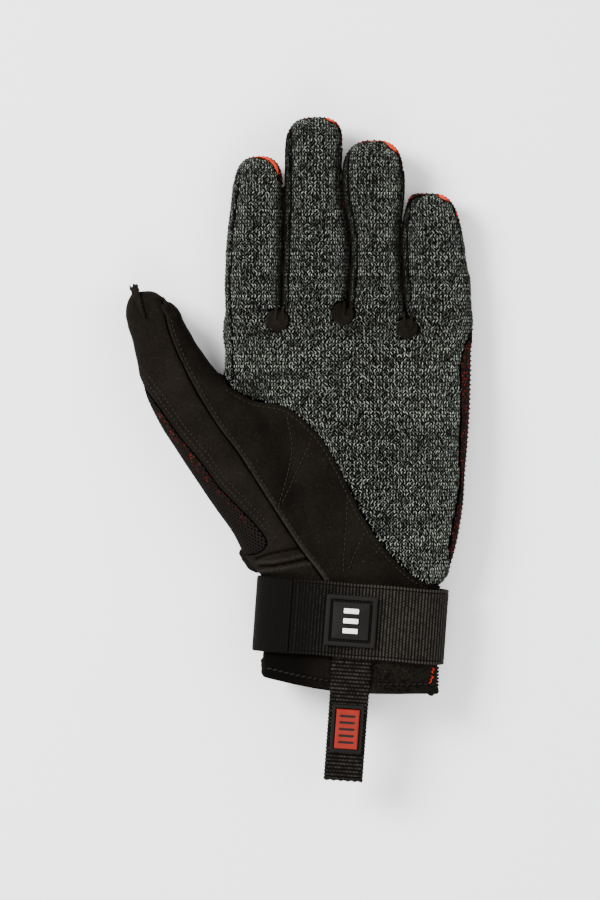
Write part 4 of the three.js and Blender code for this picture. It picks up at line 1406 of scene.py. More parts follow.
    @staticmethod
    def tip_edges(finger: Finger, plan: np.ndarray) -> tuple[np.ndarray, np.ndarray]:
        """Where plan points are at a fingertip.

        Args:
            finger: the finger.
            plan: points in plan, in any arrangement.

        Returns:
            How far inside the knit's edge each point is, below zero outside it, and how wide the
            orange cloth is there.
        """
        x, y = plan[..., 0], plan[..., 1]
        left = edge_x(finger.left, y) + SIZES.finger_gap / 2
        right = edge_x(finger.right, y) - SIZES.finger_gap / 2
        limit, offset = (right - left) / 2, x - (left + right) / 2
        rise = y - (finger.tip_y - SIZES.tip_dome)
        angle = np.arctan2(rise, offset)
        power = SIZES.dome_power
        dome = (np.abs(np.cos(angle)) / limit) ** power + (np.abs(np.sin(angle)) / SIZES.tip_dome) ** power
        depth = np.where(rise > 0, dome ** (-1 / power) - np.hypot(offset, rise), limit - np.abs(offset))
        table = TIP_EDGES[finger.name]
        return depth - table.read("inset", np.degrees(angle)), table.read("orange", np.degrees(angle))

    def tips(self, space: Space) -> np.ndarray:
        """All four fingertips."""
        return reduce(np.minimum, [self.tip(finger, space) for finger in FINGERS])

    def knit(self, space: Space) -> np.ndarray:
        """Knit of the palm and the fingers, without what is set into it."""
        region = self.panel_region(self.knit_outline(), space, True)
        others = np.minimum(np.minimum(self.strips(space), self.pads(space)), self.tips(space))
        return np.maximum(region, -others)

    def back(self, space: Space) -> np.ndarray:
        """Everything that no front panel, strip or fingertip takes."""
        fronts = reduce(np.minimum, [
            self.panel_region(self.knit_outline(), space, True),
            self.panel_region(self.thenar_outline(), space),
            self.panel_region(self.outer_outline(), space),
            self.panel_region(self.gusset_outline(), space),
            self.cuff(space), self.strips(space), self.tips(space),
        ])
        return -fronts

    @staticmethod
    def flanges() -> list[tuple[np.ndarray, float, float]]:
        """Grooves beside the sewn edges of the fingers, each with its depth and half its width."""
        out = []
        for finger in FINGERS:
            first = 18.0 if finger.left == "outer" else SIZES.crotch_y + 4
            y = np.linspace(first, finger.tip_y - 6, 24)
            out.append((np.column_stack([edge_x(finger.left, y) + FLANGE_WIDTH, y]), 0.75, 0.5))
            y = np.linspace(SIZES.crotch_y + 4, finger.tip_y - 9, 24)
            out.append((np.column_stack([edge_x(finger.right, y) - FLANGE_WIDTH * 0.8, y]), 0.4, 0.35))
        return out

    # Relief of the fronts, in millimetres out of the surface

    def knit_relief(self, space: Space) -> np.ndarray:
        """Seam flanges along the fingers, soft creases and the dip under the suede."""
        plan = space.plan
        relief = np.zeros(plan.shape[:2])
        for line, depth, width in self.flanges():
            relief -= depth * bump_along(plan, line, width)
        for crease in KNIT_CREASES:
            relief += crease.height * bump_along(plan, crease.line, crease.width)
        dip = np.hypot((plan[..., 0] - KNIT_DIP[0]) / 7.5, (plan[..., 1] - KNIT_DIP[1]) / 4.5)
        relief -= 1.2 * np.exp(-dip ** 2)
        for line, depth in ((PALM_SEAM.points, 0.7), (LITTLE_SIDE_SEAM.points, 0.5)):
            relief -= depth * bump_along(plan, line, 1.3)
        relief += 0.1 * ripple(plan, 2.3, 3) + 0.16 * ripple(plan, 9.0, 4)
        return relief[:, :, None]

    def thenar_relief(self, space: Space) -> np.ndarray:
        """Raised lapped edge at the thumb seam, sewn lines and soft hollows."""
        plan = space.plan
        seam = line_distance(plan, THUMB_SEAM.points)
        relief = 0.7 * np.exp(-(seam / 1.5) ** 2) - 0.3 * np.exp(-((seam - 2.1) / 0.6) ** 2)
        palm = line_distance(plan, PALM_SEAM.points)
        relief += 0.55 * np.exp(-(palm / 3.0) ** 2) - 0.3 * np.exp(-((palm - 2.0) / 0.6) ** 2)
        for row in THENAR_ROWS:
            relief -= 0.35 * bump_along(plan, row.line, 0.8)
        relief += 1.0 * bump_along(plan, THENAR_LOBE, 2.2)
        relief += 0.35 * ripple(plan, 14.0, 5)
        return relief[:, :, None]

    def outer_relief(self, space: Space) -> np.ndarray:
        """Lower edge at the thumb seam, folds above the strap and puckers below the tip fold."""
        plan = space.plan
        relief = -0.55 * bump_along(plan, THUMB_SEAM.points, 1.6)
        relief -= 0.3 * bump_along(plan, MESH_BORDER.points, 0.8)
        for fold in OUTER_FOLDS:
            relief += fold.height * bump_along(plan, fold.line, fold.width)
        relief += 0.35 * ripple(plan, 13.0, 6)
        return relief[:, :, None]

    def cuff_relief(self, space: Space) -> np.ndarray:
        """Hem roll and the groove of its stitches."""
        hem = line_distance(space.plan, self.hem)
        relief = 0.5 * np.exp(-((hem - 1.2) / 1.3) ** 2) - 0.55 * np.exp(-((hem - HEM_STITCH_IN) / 0.9) ** 2)
        return (relief + 0.25 * ripple(space.plan, 12.0, 8))[:, :, None]

    def pad_relief(self, space: Space) -> np.ndarray:
        """Rounded end of the strip between the fingers, sewn onto the pad."""
        plan = space.plan
        relief = np.zeros(plan.shape[:2])
        for pad in PADS:
            gap = np.abs(np.hypot(plan[..., 0] - pad.loop[0], plan[..., 1] - pad.loop[1]) - pad.loop_radius)
            relief += 0.5 * np.exp(-(gap / 0.45) ** 2) * (plan[..., 1] < pad.loop[1] + 1.5)
            distance = np.hypot(plan[..., 0] - pad.centre[0], plan[..., 1] - pad.centre[1])
            relief -= 0.25 * np.exp(-((distance - pad.radius) / 0.8) ** 2)
        return relief[:, :, None]

    @staticmethod
    def strip_relief(space: Space) -> np.ndarray:
        """Facing strips swell until they touch, with small gathers along them."""
        return 0.62 + 0.1 * np.sin(space.y * 2.4) + 0 * space.x

    def mesh_relief(self, space: Space) -> np.ndarray:
        """Rows of dimples, one for each hole of the mesh on the thumb."""
        points = np.stack(np.broadcast_arrays(space.x, space.y, space.z), axis=-1).reshape(-1, 3)
        u, v = Weaver.thumb(points).T
        rows = v / (MESH_PITCH * MESH_ROW)
        row = np.floor(rows)
        columns = u / MESH_PITCH + np.mod(row, 2) * 0.5
        x, y = columns - np.floor(columns) - 0.5, rows - row - 0.5
        hole = np.sqrt(x * x * HOLE_ACROSS + y * y * HOLE_ALONG)
        return -0.75 * np.clip((0.42 - hole) / 0.2, 0, 1).reshape(space.shape)

    # Cutting

    def cut(self, panel: Panel) -> tuple[np.ndarray, np.ndarray, Space]:
        """Cuts one panel from the wall.

        Args:
            panel: the panel.

        Returns:
            Its points, its quads and the grid that it was cut on.
        """
        x0, x1, y0, y1 = panel.box
        local = Space((x0, y0, self.below), (x1, y1, self.above), panel.pitch)
        outer = resample(self.form.field, self.space, local)
        relief = panel.relief(local) if panel.relief else 0.0
        deep = np.minimum(relief + DEEPEST_RELIEF, 0.0)
        shell = np.maximum(outer - relief, deep - outer - SIZES.wall)
        shell = np.maximum(shell, 0.05 - local.z)
        values = smooth_cut(shell, panel.region(local) + panel.gap, panel.edge)
        below = -polygon_field(local.plan, np.vstack([self.hem, [[FAR, -FAR], [-FAR, -FAR]]]))[:, :, None]
        values = smooth_cut(values, below, 1.4) if y0 < SIZES.strap_y else values
        points, quads = local.mesh(values)
        return points, quads, local

    def build(self, panel: Panel, material: bpy.types.Material) -> bpy.types.Object:
        """Makes the piece of one panel.

        Args:
            panel: the panel.
            material: its finish.

        Returns:
            The piece, which replaces the CAD node of the same name.
        """
        points, quads, local = self.cut(panel)
        points, quads = largest_part(points, quads)
        weave = Weaver.place(points, panel.side)
        if panel.name.startswith("fingertip"):
            finger = next(one for one in FINGERS if panel.name.endswith(one.name))
            inside, orange = self.tip_edges(finger, points[:, :2])
            under = np.maximum(finger_height(points[:, 1]) - points[:, 2], 0)
            weave = np.column_stack([weave, np.maximum(-inside, 0) + under - orange])
        elif panel.name == "thenar_panel":
            # Painted highlight along the raised edge at the thumb seam, fading towards the fingers.
            seam = line_distance(points[:, :2], THUMB_SEAM.points)
            painted_highlight = np.interp(points[:, 1], (-50.0, 20.0), (1.0, 0.3))
            weave = np.column_stack([weave, painted_highlight * np.exp(-((seam - 0.9) / 0.8) ** 2)])
        elif panel.name == "thumb_outer_panel":
            # Painted light on the folds: a painted highlight on the crests and painted shade in the creases.
            tone_and_painted_light = sum(0.55 * np.sign(fold.height) * bump_along(points[:, :2], fold.line, fold.width * 1.1)
                       for fold in OUTER_FOLDS)
            weave = np.column_stack([weave, np.clip(tone_and_painted_light, -1.0, 1.0)])
        elif panel.name == "thumb_mesh_gusset":
            band = line_distance(points[:, :2], GLOW_LINE)
            fade = np.clip((points[:, 1] - GLOW_LINE[-1, 1]) / (GLOW_LINE[0, 1] - GLOW_LINE[-1, 1]), 0, 1)
            glow = np.exp(-(band / 1.4) ** 2) * (0.08 + 0.92 * fade)
            weave = np.column_stack([weave, glow])
        piece = make_mesh(panel.name + "_cloth", points, quads, weave)
        dress(piece, material, [panel.name])
        FLAT_CUTS[panel.name].declare(piece)
        return piece

    def build_tip_fold(self, material: bpy.types.Material) -> bpy.types.Object:
        """Makes the folded end of the thumb seam at the tip of the thumb."""
        fold = TipFold()
        x, y = fold.start
        local = Space((x - 9, y - 14, 4.0), (x + 11, y + 6, 34.0), 0.25)
        outer = resample(self.form.field, self.space, local)
        turn = math.radians(fold.turn_deg)
        across = (local.x - x) * math.cos(turn) + (local.y - y) * math.sin(turn)
        along = (local.y - y) * math.cos(turn) - (local.x - x) * math.sin(turn)
        down = np.clip((fold.above - along) / (fold.above + fold.below), 0, 1)
        half = fold.width / 2 * (1 - 0.72 * down ** 0.8) + 0.12 * np.sin(along * 3.4) * np.sign(across)
        thick = 2.7 * (1 - down) ** 1.5 + 1.0 + 0.2 * np.sin(along * 4.2)
        crown = thick - 0.5 * (across / np.maximum(half, 0.4)) ** 2
        end = along - fold.above - 0.4 * np.sin(across * 3.3 + 0.8)
        end = end + 0.7 * np.exp(-((across + 0.5) / 0.5) ** 2)
        sides = np.maximum(np.abs(across) - half, np.maximum(end, -fold.below - along))
        body = np.maximum(np.maximum(outer - crown, -0.5 - outer), fold.lowest - local.z)
        points, quads = local.mesh(smooth_cut(body, sides, 0.5))
        points, quads = largest_part(points, quads)
        piece = make_mesh("thumb_tip_fold_cloth", points, quads, Weaver.thumb(points))
        dress(piece, material, ["thumb_tip_fold"])
        FLAT_CUTS["thumb_tip_fold"].declare(piece)
        return piece


@dataclass(frozen=True)
class TipFold:
    """Folded end of the thumb seam, which stands up at the tip and tapers down the thumb."""

    width: float = 4.3
    above: float = 3.2
    below: float = 12.5
    turn_deg: float = 20.0
    start: tuple[float, float] = (-90.06, 68.1)
    lowest: float = 15.0


def resample(values: np.ndarray, wide: Space, local: Space) -> np.ndarray:
    """Reads a field of one grid on another.

    Args:
        values: the field.
        wide: its grid.
        local: the other grid.

    Returns:
        The field on the other grid.
    """
    for axis in range(3):
        place = (local.axes[axis] - wide.low[axis]) / wide.pitch
        place = np.clip(place, 0, values.shape[axis] - 1.001)
        base = place.astype(int)
        share = (place - base).reshape([-1 if number == axis else 1 for number in range(3)])
        values = np.take(values, base, axis) * (1 - share) + np.take(values, base + 1, axis) * share
    return values


def ripple(plan: np.ndarray, length: float, seed: int) -> np.ndarray:
    """Soft unevenness in plan from a few crossing waves.

    Args:
        plan: points in plan.
        length: usual length of a wave.
        seed: number that picks the waves.

    Returns:
        Values of about -1 to 1.
    """
    chooser = np.random.default_rng(seed)
    total = np.zeros(plan.shape[:-1])
    for _ in range(7):
        heading, start = chooser.uniform(0, TAU, 2)
        step = TAU / (length * chooser.uniform(0.6, 1.6))
        total += np.sin(step * (plan[..., 0] * math.cos(heading) + plan[..., 1] * math.sin(heading)) + start)
    return total / 3.5


def largest_part(points: np.ndarray, quads: np.ndarray) -> tuple[np.ndarray, np.ndarray]:
    """Keeps the parts of a mesh that are no crumbs.

    Args:
        points: all points.
        quads: all quads.

    Returns:
        The points and quads that stay.
    """
    label = np.arange(len(points))
    while True:
        low = label[quads].min(axis=1)
        before = label.copy()
        for corner in range(4):
            np.minimum.at(label, quads[:, corner], low)
        label = label[label]
        if (label == before).all():
            break
    names, counts = np.unique(label, return_counts=True)
    keep = np.isin(label, names[counts > 0.08 * counts.max()])
    number = np.cumsum(keep) - 1
    return points[keep], number[quads[keep[quads].all(axis=1)]]


# Stitches


class Beads:
    """Collects many small meshes and joins them into one piece."""

    def __init__(self) -> None:
        """Starts with nothing."""
        self.points: list[np.ndarray] = []
        self.quads: list[np.ndarray] = []
        self.weave: list[np.ndarray] = []
        self.count = 0

    def add(self, points: np.ndarray, quads: np.ndarray, weave: np.ndarray) -> None:
        """Adds one small mesh.

        Args:
            points: its points.
            quads: its faces.
            weave: its places on the thread.
        """
        self.points.append(points)
        self.quads.append(quads + self.count)
        self.weave.append(weave)
        self.count += len(points)

    def tube(self, line: np.ndarray, radius: np.ndarray, sides: int = 6) -> None:
        """Adds a thread along a line.

        Args:
            line: points of its middle.
            radius: its radius at each point, or one for all.
            sides: points round it.
        """
        radius = np.broadcast_to(radius, len(line))
        along = np.gradient(line, axis=0)
        along /= np.maximum(np.linalg.norm(along, axis=1), 1e-9)[:, None]
        up = np.tile([0.0, 0.0, 1.0], (len(line), 1))
        flat = np.abs(along[:, 2]) > 0.9
        up[flat] = (0.0, 1.0, 0.0)
        side = np.cross(along, up)
        side /= np.linalg.norm(side, axis=1)[:, None]
        up = np.cross(side, along)
        angle = TAU * np.arange(sides) / sides
        ring_points = (line[:, None] + radius[:, None, None] * (
            side[:, None] * np.cos(angle)[None, :, None] + up[:, None] * np.sin(angle)[None, :, None]))
        points = ring_points.reshape(-1, 3)
        length = np.append(0, np.cumsum(np.linalg.norm(np.diff(line, axis=0), axis=1)))
        weave = np.column_stack([np.repeat(length, sides), np.tile(angle / TAU, len(line))])
        here = np.arange(len(line) - 1)[:, None] * sides + np.arange(sides)
        after = np.arange(len(line) - 1)[:, None] * sides + (np.arange(sides) + 1) % sides
        quads = np.stack([here, after, after + sides, here + sides], axis=-1).reshape(-1, 4)
        end = (len(line) - 1) * sides
        fans = [[0, step + 2, step + 1, step] for step in range(1, sides - 1, 2)]
        fans += [[end, end + step, end + step + 1, end + step + 2] for step in range(1, sides - 1, 2)]
        self.add(points, np.vstack([quads, np.array(fans)]), weave)

    def capsule(self, start: np.ndarray, end: np.ndarray, radius: float, rise: float = 0.0) -> None:
        """Adds one short stitch with rounded ends.

        Args:
            start: one end.
            end: the other end.
            radius: radius of the thread.
            rise: how far its middle stands up.
        """
        share = np.array([0.0, 0.06, 0.22, 0.5, 0.78, 0.94, 1.0])
        swell = np.array([0.05, 0.6, 0.95, 1.0, 0.95, 0.6, 0.05])
        line = start + (end - start) * share[:, None]
        line[:, 2] += rise * (1 - (2 * share - 1) ** 2)
        self.tube(line, radius * swell)

    def build(self, name: str, material: bpy.types.Material, slot: str,
              nodes: Sequence[str] = ()) -> bpy.types.Object:
        """Joins everything into one piece."""
        piece = make_mesh(name, np.vstack(self.points), np.vstack(self.quads), np.vstack(self.weave))
        dress(piece, material, nodes)
        return piece


def even_points(line: np.ndarray, pitch: float) -> np.ndarray:
    """Points along a line at an even pitch."""
    length = np.append(0, np.cumsum(np.linalg.norm(np.diff(line, axis=0), axis=1)))
    places = np.arange(0, length[-1], pitch)
    return np.column_stack([np.interp(places, length, line[:, axis]) for axis in range(line.shape[1])])


def shifted(line: np.ndarray, offset: float) -> np.ndarray:
    """A plan line moved to its left by an offset."""
    along = np.gradient(line, axis=0)
    along /= np.maximum(np.linalg.norm(along, axis=1), 1e-9)[:, None]
    return line + offset * np.column_stack([-along[:, 1], along[:, 0]])


@dataclass
class KnitStrands:
    """Single strands of light yarn, one in each cell of the knit."""

    shell: GloveShell
    across: float = KNIT_COLUMN
    along: float = KNIT_ROW
    width: float = 0.47
    rise: float = 0.26
    seam_gap: float = 0.2
    inset_gap: float = 0.75
    dark_edge: float = 0.95
    split_y: float = 52.0

    def cells(self, panel: Panel) -> tuple[np.ndarray, np.ndarray, np.ndarray, np.ndarray]:
        """Fits a small flat patch of cloth to the surface in each cell of the knit.

        Args:
            panel: the knit.

        Returns:
            Column and row of each cell, its middle, and the directions across and along it.
        """
        points, _, local = self.shell.cut(panel)
        places = (points - np.array(local.low)) / local.pitch
        outer = resample(self.shell.form.field, self.shell.space, local)
        by_suede = line_distance(points[:, :2], PALM_SEAM.points) < 4.0
        gap = np.where(by_suede, self.seam_gap, self.inset_gap)
        keep = (sample(outer, places) > -1.5) & (sample(panel.region(local), places) < -gap)
        points = points[keep]
        u, v = Weaver.hand(points, True).T
        finger = finger_number(points[:, 0], points[:, 1])
        base = np.column_stack([np.floor(u / self.across), np.floor(v / self.along)]).astype(int)
        keys, terms, own = [], [], []
        for i in (-1, 0, 1):
            for j in (-1, 0, 1):
                cell = base + (i, j)
                part = np.where(cell[:, 1] * self.along > self.split_y, finger, 0)
                keys.append(((cell[:, 0] + 500) * 1000 + cell[:, 1] + 500) * 4 + part)
                du, dv = u - (cell[:, 0] + 0.5) * self.across, v - (cell[:, 1] + 0.5) * self.along
                terms.append(np.column_stack([np.ones(len(u)), du, dv, points]))
                own.append(np.full(len(u), float(i == 0 and j == 0)))
        names, index = np.unique(np.concatenate(keys), return_inverse=True)
        terms = np.vstack(terms)
        mine = np.bincount(index, np.concatenate(own))
        square, right = (
            np.array([[np.bincount(index, terms[:, a] * terms[:, b]) for b in range(first, first + 3)]
                      for a in range(3)])
            for first in (0, 3)
        )
        keep = (mine > 0) & (square[0, 0] > 9)
        square, right = square[:, :, keep].transpose(2, 0, 1), right[:, :, keep].transpose(2, 0, 1)
        fitted = np.linalg.solve(square + np.eye(3) * 1e-6, right)
        names = names[keep] // 4
        grid = np.column_stack([names // 1000 - 500, names % 1000 - 500])
        return grid, fitted[:, 0], fitted[:, 1], fitted[:, 2]

    def skipped(self, middle: np.ndarray) -> np.ndarray:
        """Which cells stay dark, as painted shade: those in the seam grooves and beside the creases."""
        plan = middle[:, :2]
        near = np.full(len(plan), 1e9)
        for line in self.shell.creases:
            near = np.minimum(near, line_distance(plan, line) - self.dark_edge)
        for line, depth, width in self.shell.flanges():
            if depth > 0.5:
                near = np.minimum(near, line_distance(plan, line) - 0.8 * width)
        return near < 0

    def build(self, panel: Panel, material: bpy.types.Material) -> None:
        """Makes the long strands as one mesh and the short ones between them as another.

        Args:
            panel: the knit.
            material: finish of the yarn.
        """
        cells = self.cells(panel)
        long = self.strokes(panel, cells, 5, (0.95, 1.5), 1.0, 0.0)
        short = self.strokes(panel, cells, 6, (0.6, 1.0), 0.3, 0.5)
        for name, (corners, quads, weave) in (("palm_knit_strands", long), ("palm_knit_fibres", short)):
            dress(make_mesh(name, corners, quads, weave), material, [])

    def strokes(self, panel: Panel, cells: tuple[np.ndarray, ...], seed: int, lengths: tuple[float, float],
                level: float, offset: float) -> tuple[np.ndarray, np.ndarray, np.ndarray]:
        """Makes one strand in each cell.

        Args:
            panel: the knit.
            cells: what the method of that name gives.
            seed: number that picks the strands' leans and lengths.
            lengths: shortest and longest strand.
            level: brightness of the brightest.
            offset: how far they lie from the middles of the cells, in cells.

        Returns:
            Points, quads and places on the yarn.
        """
        grid, middle, across, along = cells
        chooser = np.random.default_rng(seed)
        count = len(grid)
        rows = chooser.uniform(0.6, 1.25, 400)[np.clip(grid[:, 1] + 200, 0, 399)]
        drift = 0.9 + 0.16 * ripple(middle[:, :2], 11.0, 9)
        # Painted shade: strands are dimmer in the dip under the suede edge and near the creases between the
        # fingers.
        dip = np.exp(-np.hypot((middle[:, 0] - KNIT_DIP[0]) / 9, (middle[:, 1] - KNIT_DIP[1]) / 6) ** 2)
        bright = chooser.beta(1.15, 1.1, count) * rows * drift * (1 - 0.65 * dip) * level
        bright *= np.interp(middle[:, 1], (40.0, 70.0), (0.95, 0.82))
        near = reduce(np.minimum, [line_distance(middle[:, :2], crease) for crease in self.shell.creases])
        bright = np.clip(bright * np.clip((near - 0.4) / 4.5, 0.3, 1.0), 0.0, 1)
        odd = chooser.integers(0, 2, 400)[np.clip(grid[:, 0] + 200, 0, 399)]
        turn = np.where((grid[:, 1] + odd) % 2, 1, -1)
        lean = 0.1 * turn + chooser.uniform(-0.32, 0.32, count)
        curl = chooser.uniform(-0.24, 0.24, count)
        hook = chooser.uniform(-0.9, 0.9, count)
        length = chooser.uniform(*lengths, count)
        shift = chooser.uniform(-0.26, 0.26, (count, 2)) + offset * np.array([self.across, self.along])
        keep = ~self.skipped(middle)
        middle, across, along, bright = middle[keep], across[keep], along[keep], bright[keep]
        lean, curl, hook, length, shift = lean[keep], curl[keep], hook[keep], length[keep], shift[keep]
        many = 4 if level == 1.0 else 3
        steps = np.linspace(-1, 1, many)
        du = shift[:, :1] + lean[:, None] * steps + curl[:, None] * np.sin(math.pi * steps)
        du += hook[:, None] * np.maximum(steps, 0) ** 3
        dv = shift[:, 1:] + length[:, None] / 2 * steps
        line = middle[:, None] + du[..., None] * across[:, None] + dv[..., None] * along[:, None]
        x0, x1, y0, y1 = panel.box
        flat = Space((x0, y0, 0.0), (x1, y1, 1.0), 0.7)
        relief = panel.relief(flat)[:, :, 0]
        points = line.reshape(-1, 3)
        lift = sample(relief, (points[:, :2] - (x0, y0)) / flat.pitch)
        lift += np.tile(0.12 - 0.24 * steps ** 4, len(line))
        points, normal = self.shell.form.onto(points, lift)
        tangent = np.gradient(points.reshape(line.shape), axis=1).reshape(-1, 3)
        side = np.cross(tangent, normal)
        side /= np.maximum(np.linalg.norm(side, axis=1), 1e-6)[:, None]
        swell = np.tile(1 - 0.45 * steps ** 4, len(line))[:, None]
        corners = np.stack([
            points - side * swell * self.width / 2, points + normal * swell * self.rise,
            points + side * swell * self.width / 2,
        ], axis=1).reshape(-1, 3)
        start = np.arange(len(line))[:, None, None] * 3 * many + np.arange(many - 1)[None, :, None] * 3
        here = start + np.arange(3)
        after = start + (np.arange(3) + 1) % 3
        quads = np.stack([here, after, after + 3, here + 3], axis=-1).reshape(-1, 4)
        # Painted shade: the brightness in the third value is lower where the surface faces away from straight
        # up.
        weave = np.column_stack([
            np.tile(np.repeat(steps * 2, 3), len(line)), np.tile([0.0, 0.5, 1.0], len(line) * many),
            np.repeat(np.repeat(bright, many) * np.clip(0.25 + 0.95 * normal[:, 2], 0.3, 1.0), 3),
        ])
        return corners, quads, weave


class Stitching:
    """All rows of stitches on the panels."""

    def __init__(self, form: GloveForm) -> None:
        """Keeps the form that the stitches lie on."""
        self.form = form

    def row(self, beads: Beads, row: SewnRow, sink: float = 0.12, lift: float = 0.0) -> None:
        """Sews one row onto the surface.

        Args:
            beads: where the stitches go.
            row: the row.
            sink: how deep each end goes below the surface.
            lift: how far the surface of the panel is above the form.
        """
        starts = even_points(row.line, row.pitch)
        for here, after in zip(starts[:-1], starts[1:]):
            heading = (after - here) / max(np.linalg.norm(after - here), 1e-9)
            ends = np.array([here, here + heading * row.length])
            heights = self.form.height_at(ends)
            if heights.min() < 1:
                continue
            points = np.column_stack([ends, heights + lift - sink])
            beads.capsule(points[0], points[1], row.width / 2, row.width * 0.6)

    def seams(self) -> Beads:
        """Rows beside the thumb seam, the palm seam and the mesh, and the sewn lines of the thenar."""
        beads = Beads()
        thumb = even_points(THUMB_SEAM.points, 1.5)
        keep = thumb[:, 1] < SIZES.hand_y(1.02)
        self.row(beads, SewnRow(shifted(thumb, 2.1)[keep]), 0.12, 0.2)
        self.row(beads, SewnRow(shifted(even_points(PALM_SEAM.points, 1.5), -2.0)), 0.12, 0.3)
        border = even_points(MESH_BORDER.points, 1.5)
        border = border[(border[:, 1] > SIZES.hand_y(-0.5)) & (border[:, 0] > -SIZES.thumb_spread)]
        for offset in (2.3, 4.5):
            self.row(beads, SewnRow(shifted(border, offset), 1.9, 1.25, 0.4), 0.08)
        for row in THENAR_ROWS:
            self.row(beads, row, 0.2)
        self.row(beads, FOLD_STITCHES, 0.05, 0.6)
        return beads

    def across_seam(self, beads: Beads, middle: np.ndarray, reach: float, radius: float, lift: float) -> None:
        """Sews thick loops of thread over a seam on the side of the glove.

        Args:
            beads: where the loops go.
            middle: points near the seam, one for each loop.
            reach: how far each loop goes up and down.
            radius: radius of the thread.
            lift: how far its middle stands off the cloth.
        """
        parts = []
        for up in (1.0, 0.0, -1.0):
            spot = middle + (0.0, 0.35 * up, reach * up)
            parts.append(self.form.onto(spot, lift if up == 0 else lift - 0.35)[0])
        for line in np.stack(parts, axis=1):
            if line[:, 2].min() > 0.4:
                beads.tube(line, radius * np.array([0.6, 1.0, 0.6]))

    def edges(self) -> Beads:
        """Overlocked loops along the two sides of the hand, the thumb and the fingertips."""
        beads = Beads()
        for name, side, low in (("outer", 1.0, 16.0), ("little", -1.0, SIZES.crotch_y - 6)):
            finger = FINGERS[0] if name == "outer" else FINGERS[-1]
            y = np.arange(low, finger.tip_y - 11, EDGE_PITCH)
            x = edge_x(name, y) + side * 1.0
            self.across_seam(beads, np.column_stack([x, y, finger_height(y) + 1.0]), 1.4, 0.45, -0.12)
        y = np.arange(-58.0, SIZES.crotch_y - 6, EDGE_PITCH)
        x = PALM_SECTIONS.read("right", np.where(y > 0, y / SIZES.crotch_y, y / SIZES.strap_below))
        x = x * SIZES.half_hand - 1.0
        self.across_seam(beads, np.column_stack([x, y, np.full(len(y), 13.5)]), 1.4, 0.5, 0.05)
        place = np.arange(2.6, 9.2, 0.128)
        outer = [-THUMB_SECTIONS.read("outer_x", place) * SIZES.thumb_spread + 1.0,
                 SIZES.strap_top_y + THUMB_SECTIONS.read("outer_y", place) * SIZES.thumb_length]
        self.across_seam(beads, np.column_stack([*outer, np.full(len(place), 16.0)]), 1.3, 0.42, -0.25)
        spots = even_points(CUFF_RIGHT_EDGE, 1.5)
        self.across_seam(beads, np.column_stack([spots, np.full(len(spots), 15.0)]), 2.0, 0.75, 0.15)
        for finger in FINGERS:
            top = finger.tip_y - SIZES.tip_dome
            angle = np.radians(np.arange(4.0, 178.0, 8.5))
            left, right = edge_x(finger.left, top), edge_x(finger.right, top)
            x = (left + right) / 2 + ((right - left) / 2 - 1.0) * softened(np.cos(angle))
            y = top + (SIZES.tip_dome - 0.9) * softened(np.sin(angle))
            self.across_seam(beads, np.column_stack([x, y, finger_height(y) + 1.2]), 0.9, 0.42, -0.12)
        return beads

    def cuff_threads(self) -> Beads:
        """Orange zigzag threads beside the right end of the cuff."""
        beads = Beads()
        spots = even_points(from_sight((433, 667), (432, 675), (430, 683)), 0.85)
        chooser = np.random.default_rng(21)
        swing = chooser.uniform(0.25, 0.8, len(spots)) * np.where(np.arange(len(spots)) % 2, 1, -1)
        plan = spots + np.column_stack([swing, 0.15 * swing])
        points = np.column_stack([plan, self.form.height_at(plan) + 0.15])
        for number, (start, end) in enumerate(zip(points[:-1], points[1:])):
            if number % 5 != 3:
                beads.capsule(start, end, 0.26, 0.15)
        return beads

    def loops(self) -> Beads:
        """Rolled ends of the strips, which form a loop on each pad."""
        beads = Beads()
        for pad in PADS:
            angle = np.radians(np.linspace(180, 360, 13))
            bend = np.column_stack([np.cos(angle), np.sin(angle)]) * pad.loop_radius
            arm = np.array([5.5, 4.0, 2.6, 1.3])[:, None] * (0.0, 1.0)
            side = (pad.loop_radius * 0.8, 0.0)
            line = np.vstack([arm - side, bend, arm[::-1] + side]) + pad.loop
            heights = self.form.height_at(line)
            heights = np.minimum(heights, np.median(heights) + 1.0)
            beads.tube(np.column_stack([line, heights - 0.05]), 0.72, 8)
        return beads

    def rolls(self) -> Beads:
        """Rolled ends of the seams: at the thumb, where the mesh meets the strap, and at the cuff."""
        beads = Beads()
        for roll in ROLLS:
            line = even_points(roll.line, 0.5)
            share = np.linspace(0, 1, len(line))
            middle = np.column_stack([line, np.full(len(line), roll.height)])
            middle = self.form.onto(middle, roll.lift)[0]
            swell = np.clip(np.minimum(share / 0.15, (1 - share) / 0.2), 0.05, 1) ** 0.5
            beads.tube(middle, roll.radius * swell * (1 + 0.07 * np.sin(share * 21.0)), 14)
        return beads

    def hem(self, hem: np.ndarray) -> Beads:
        """Heavy twisted stitches along the hem of the cuff."""
        beads = Beads()
        line = even_points(shifted(hem, HEM_STITCH_IN), 0.5)
        starts = even_points(line, 2.5)
        for here, after in zip(starts[:-1], starts[1:]):
            heading = (after - here) / max(np.linalg.norm(after - here), 1e-9)
            side = np.array([-heading[1], heading[0]])
            ends = np.array([here - side * 0.35, here + heading * 2.3 + side * 0.35])
            heights = self.form.height_at(ends)
            if heights.min() < SIZES.wrist_top - 8:
                continue
            points = np.column_stack([ends, heights - 0.45])
            beads.capsule(points[0], points[1], 0.52, 0.35)
        return beads


# Strap


class StrapFrame:
    """Frame of the tilted strap: u along it, v up its width, w out of its front."""

    @staticmethod
    def to_part(u: np.ndarray, v: np.ndarray, w: np.ndarray) -> np.ndarray:
        """Points of the part from places in the frame of the strap."""
        cosine, sine = math.cos(SIZES.tilt), math.sin(SIZES.tilt)
        return np.column_stack([
            SIZES.wrist_shift + u * cosine + v * sine, SIZES.strap_y - u * sine + v * cosine, w,
        ])


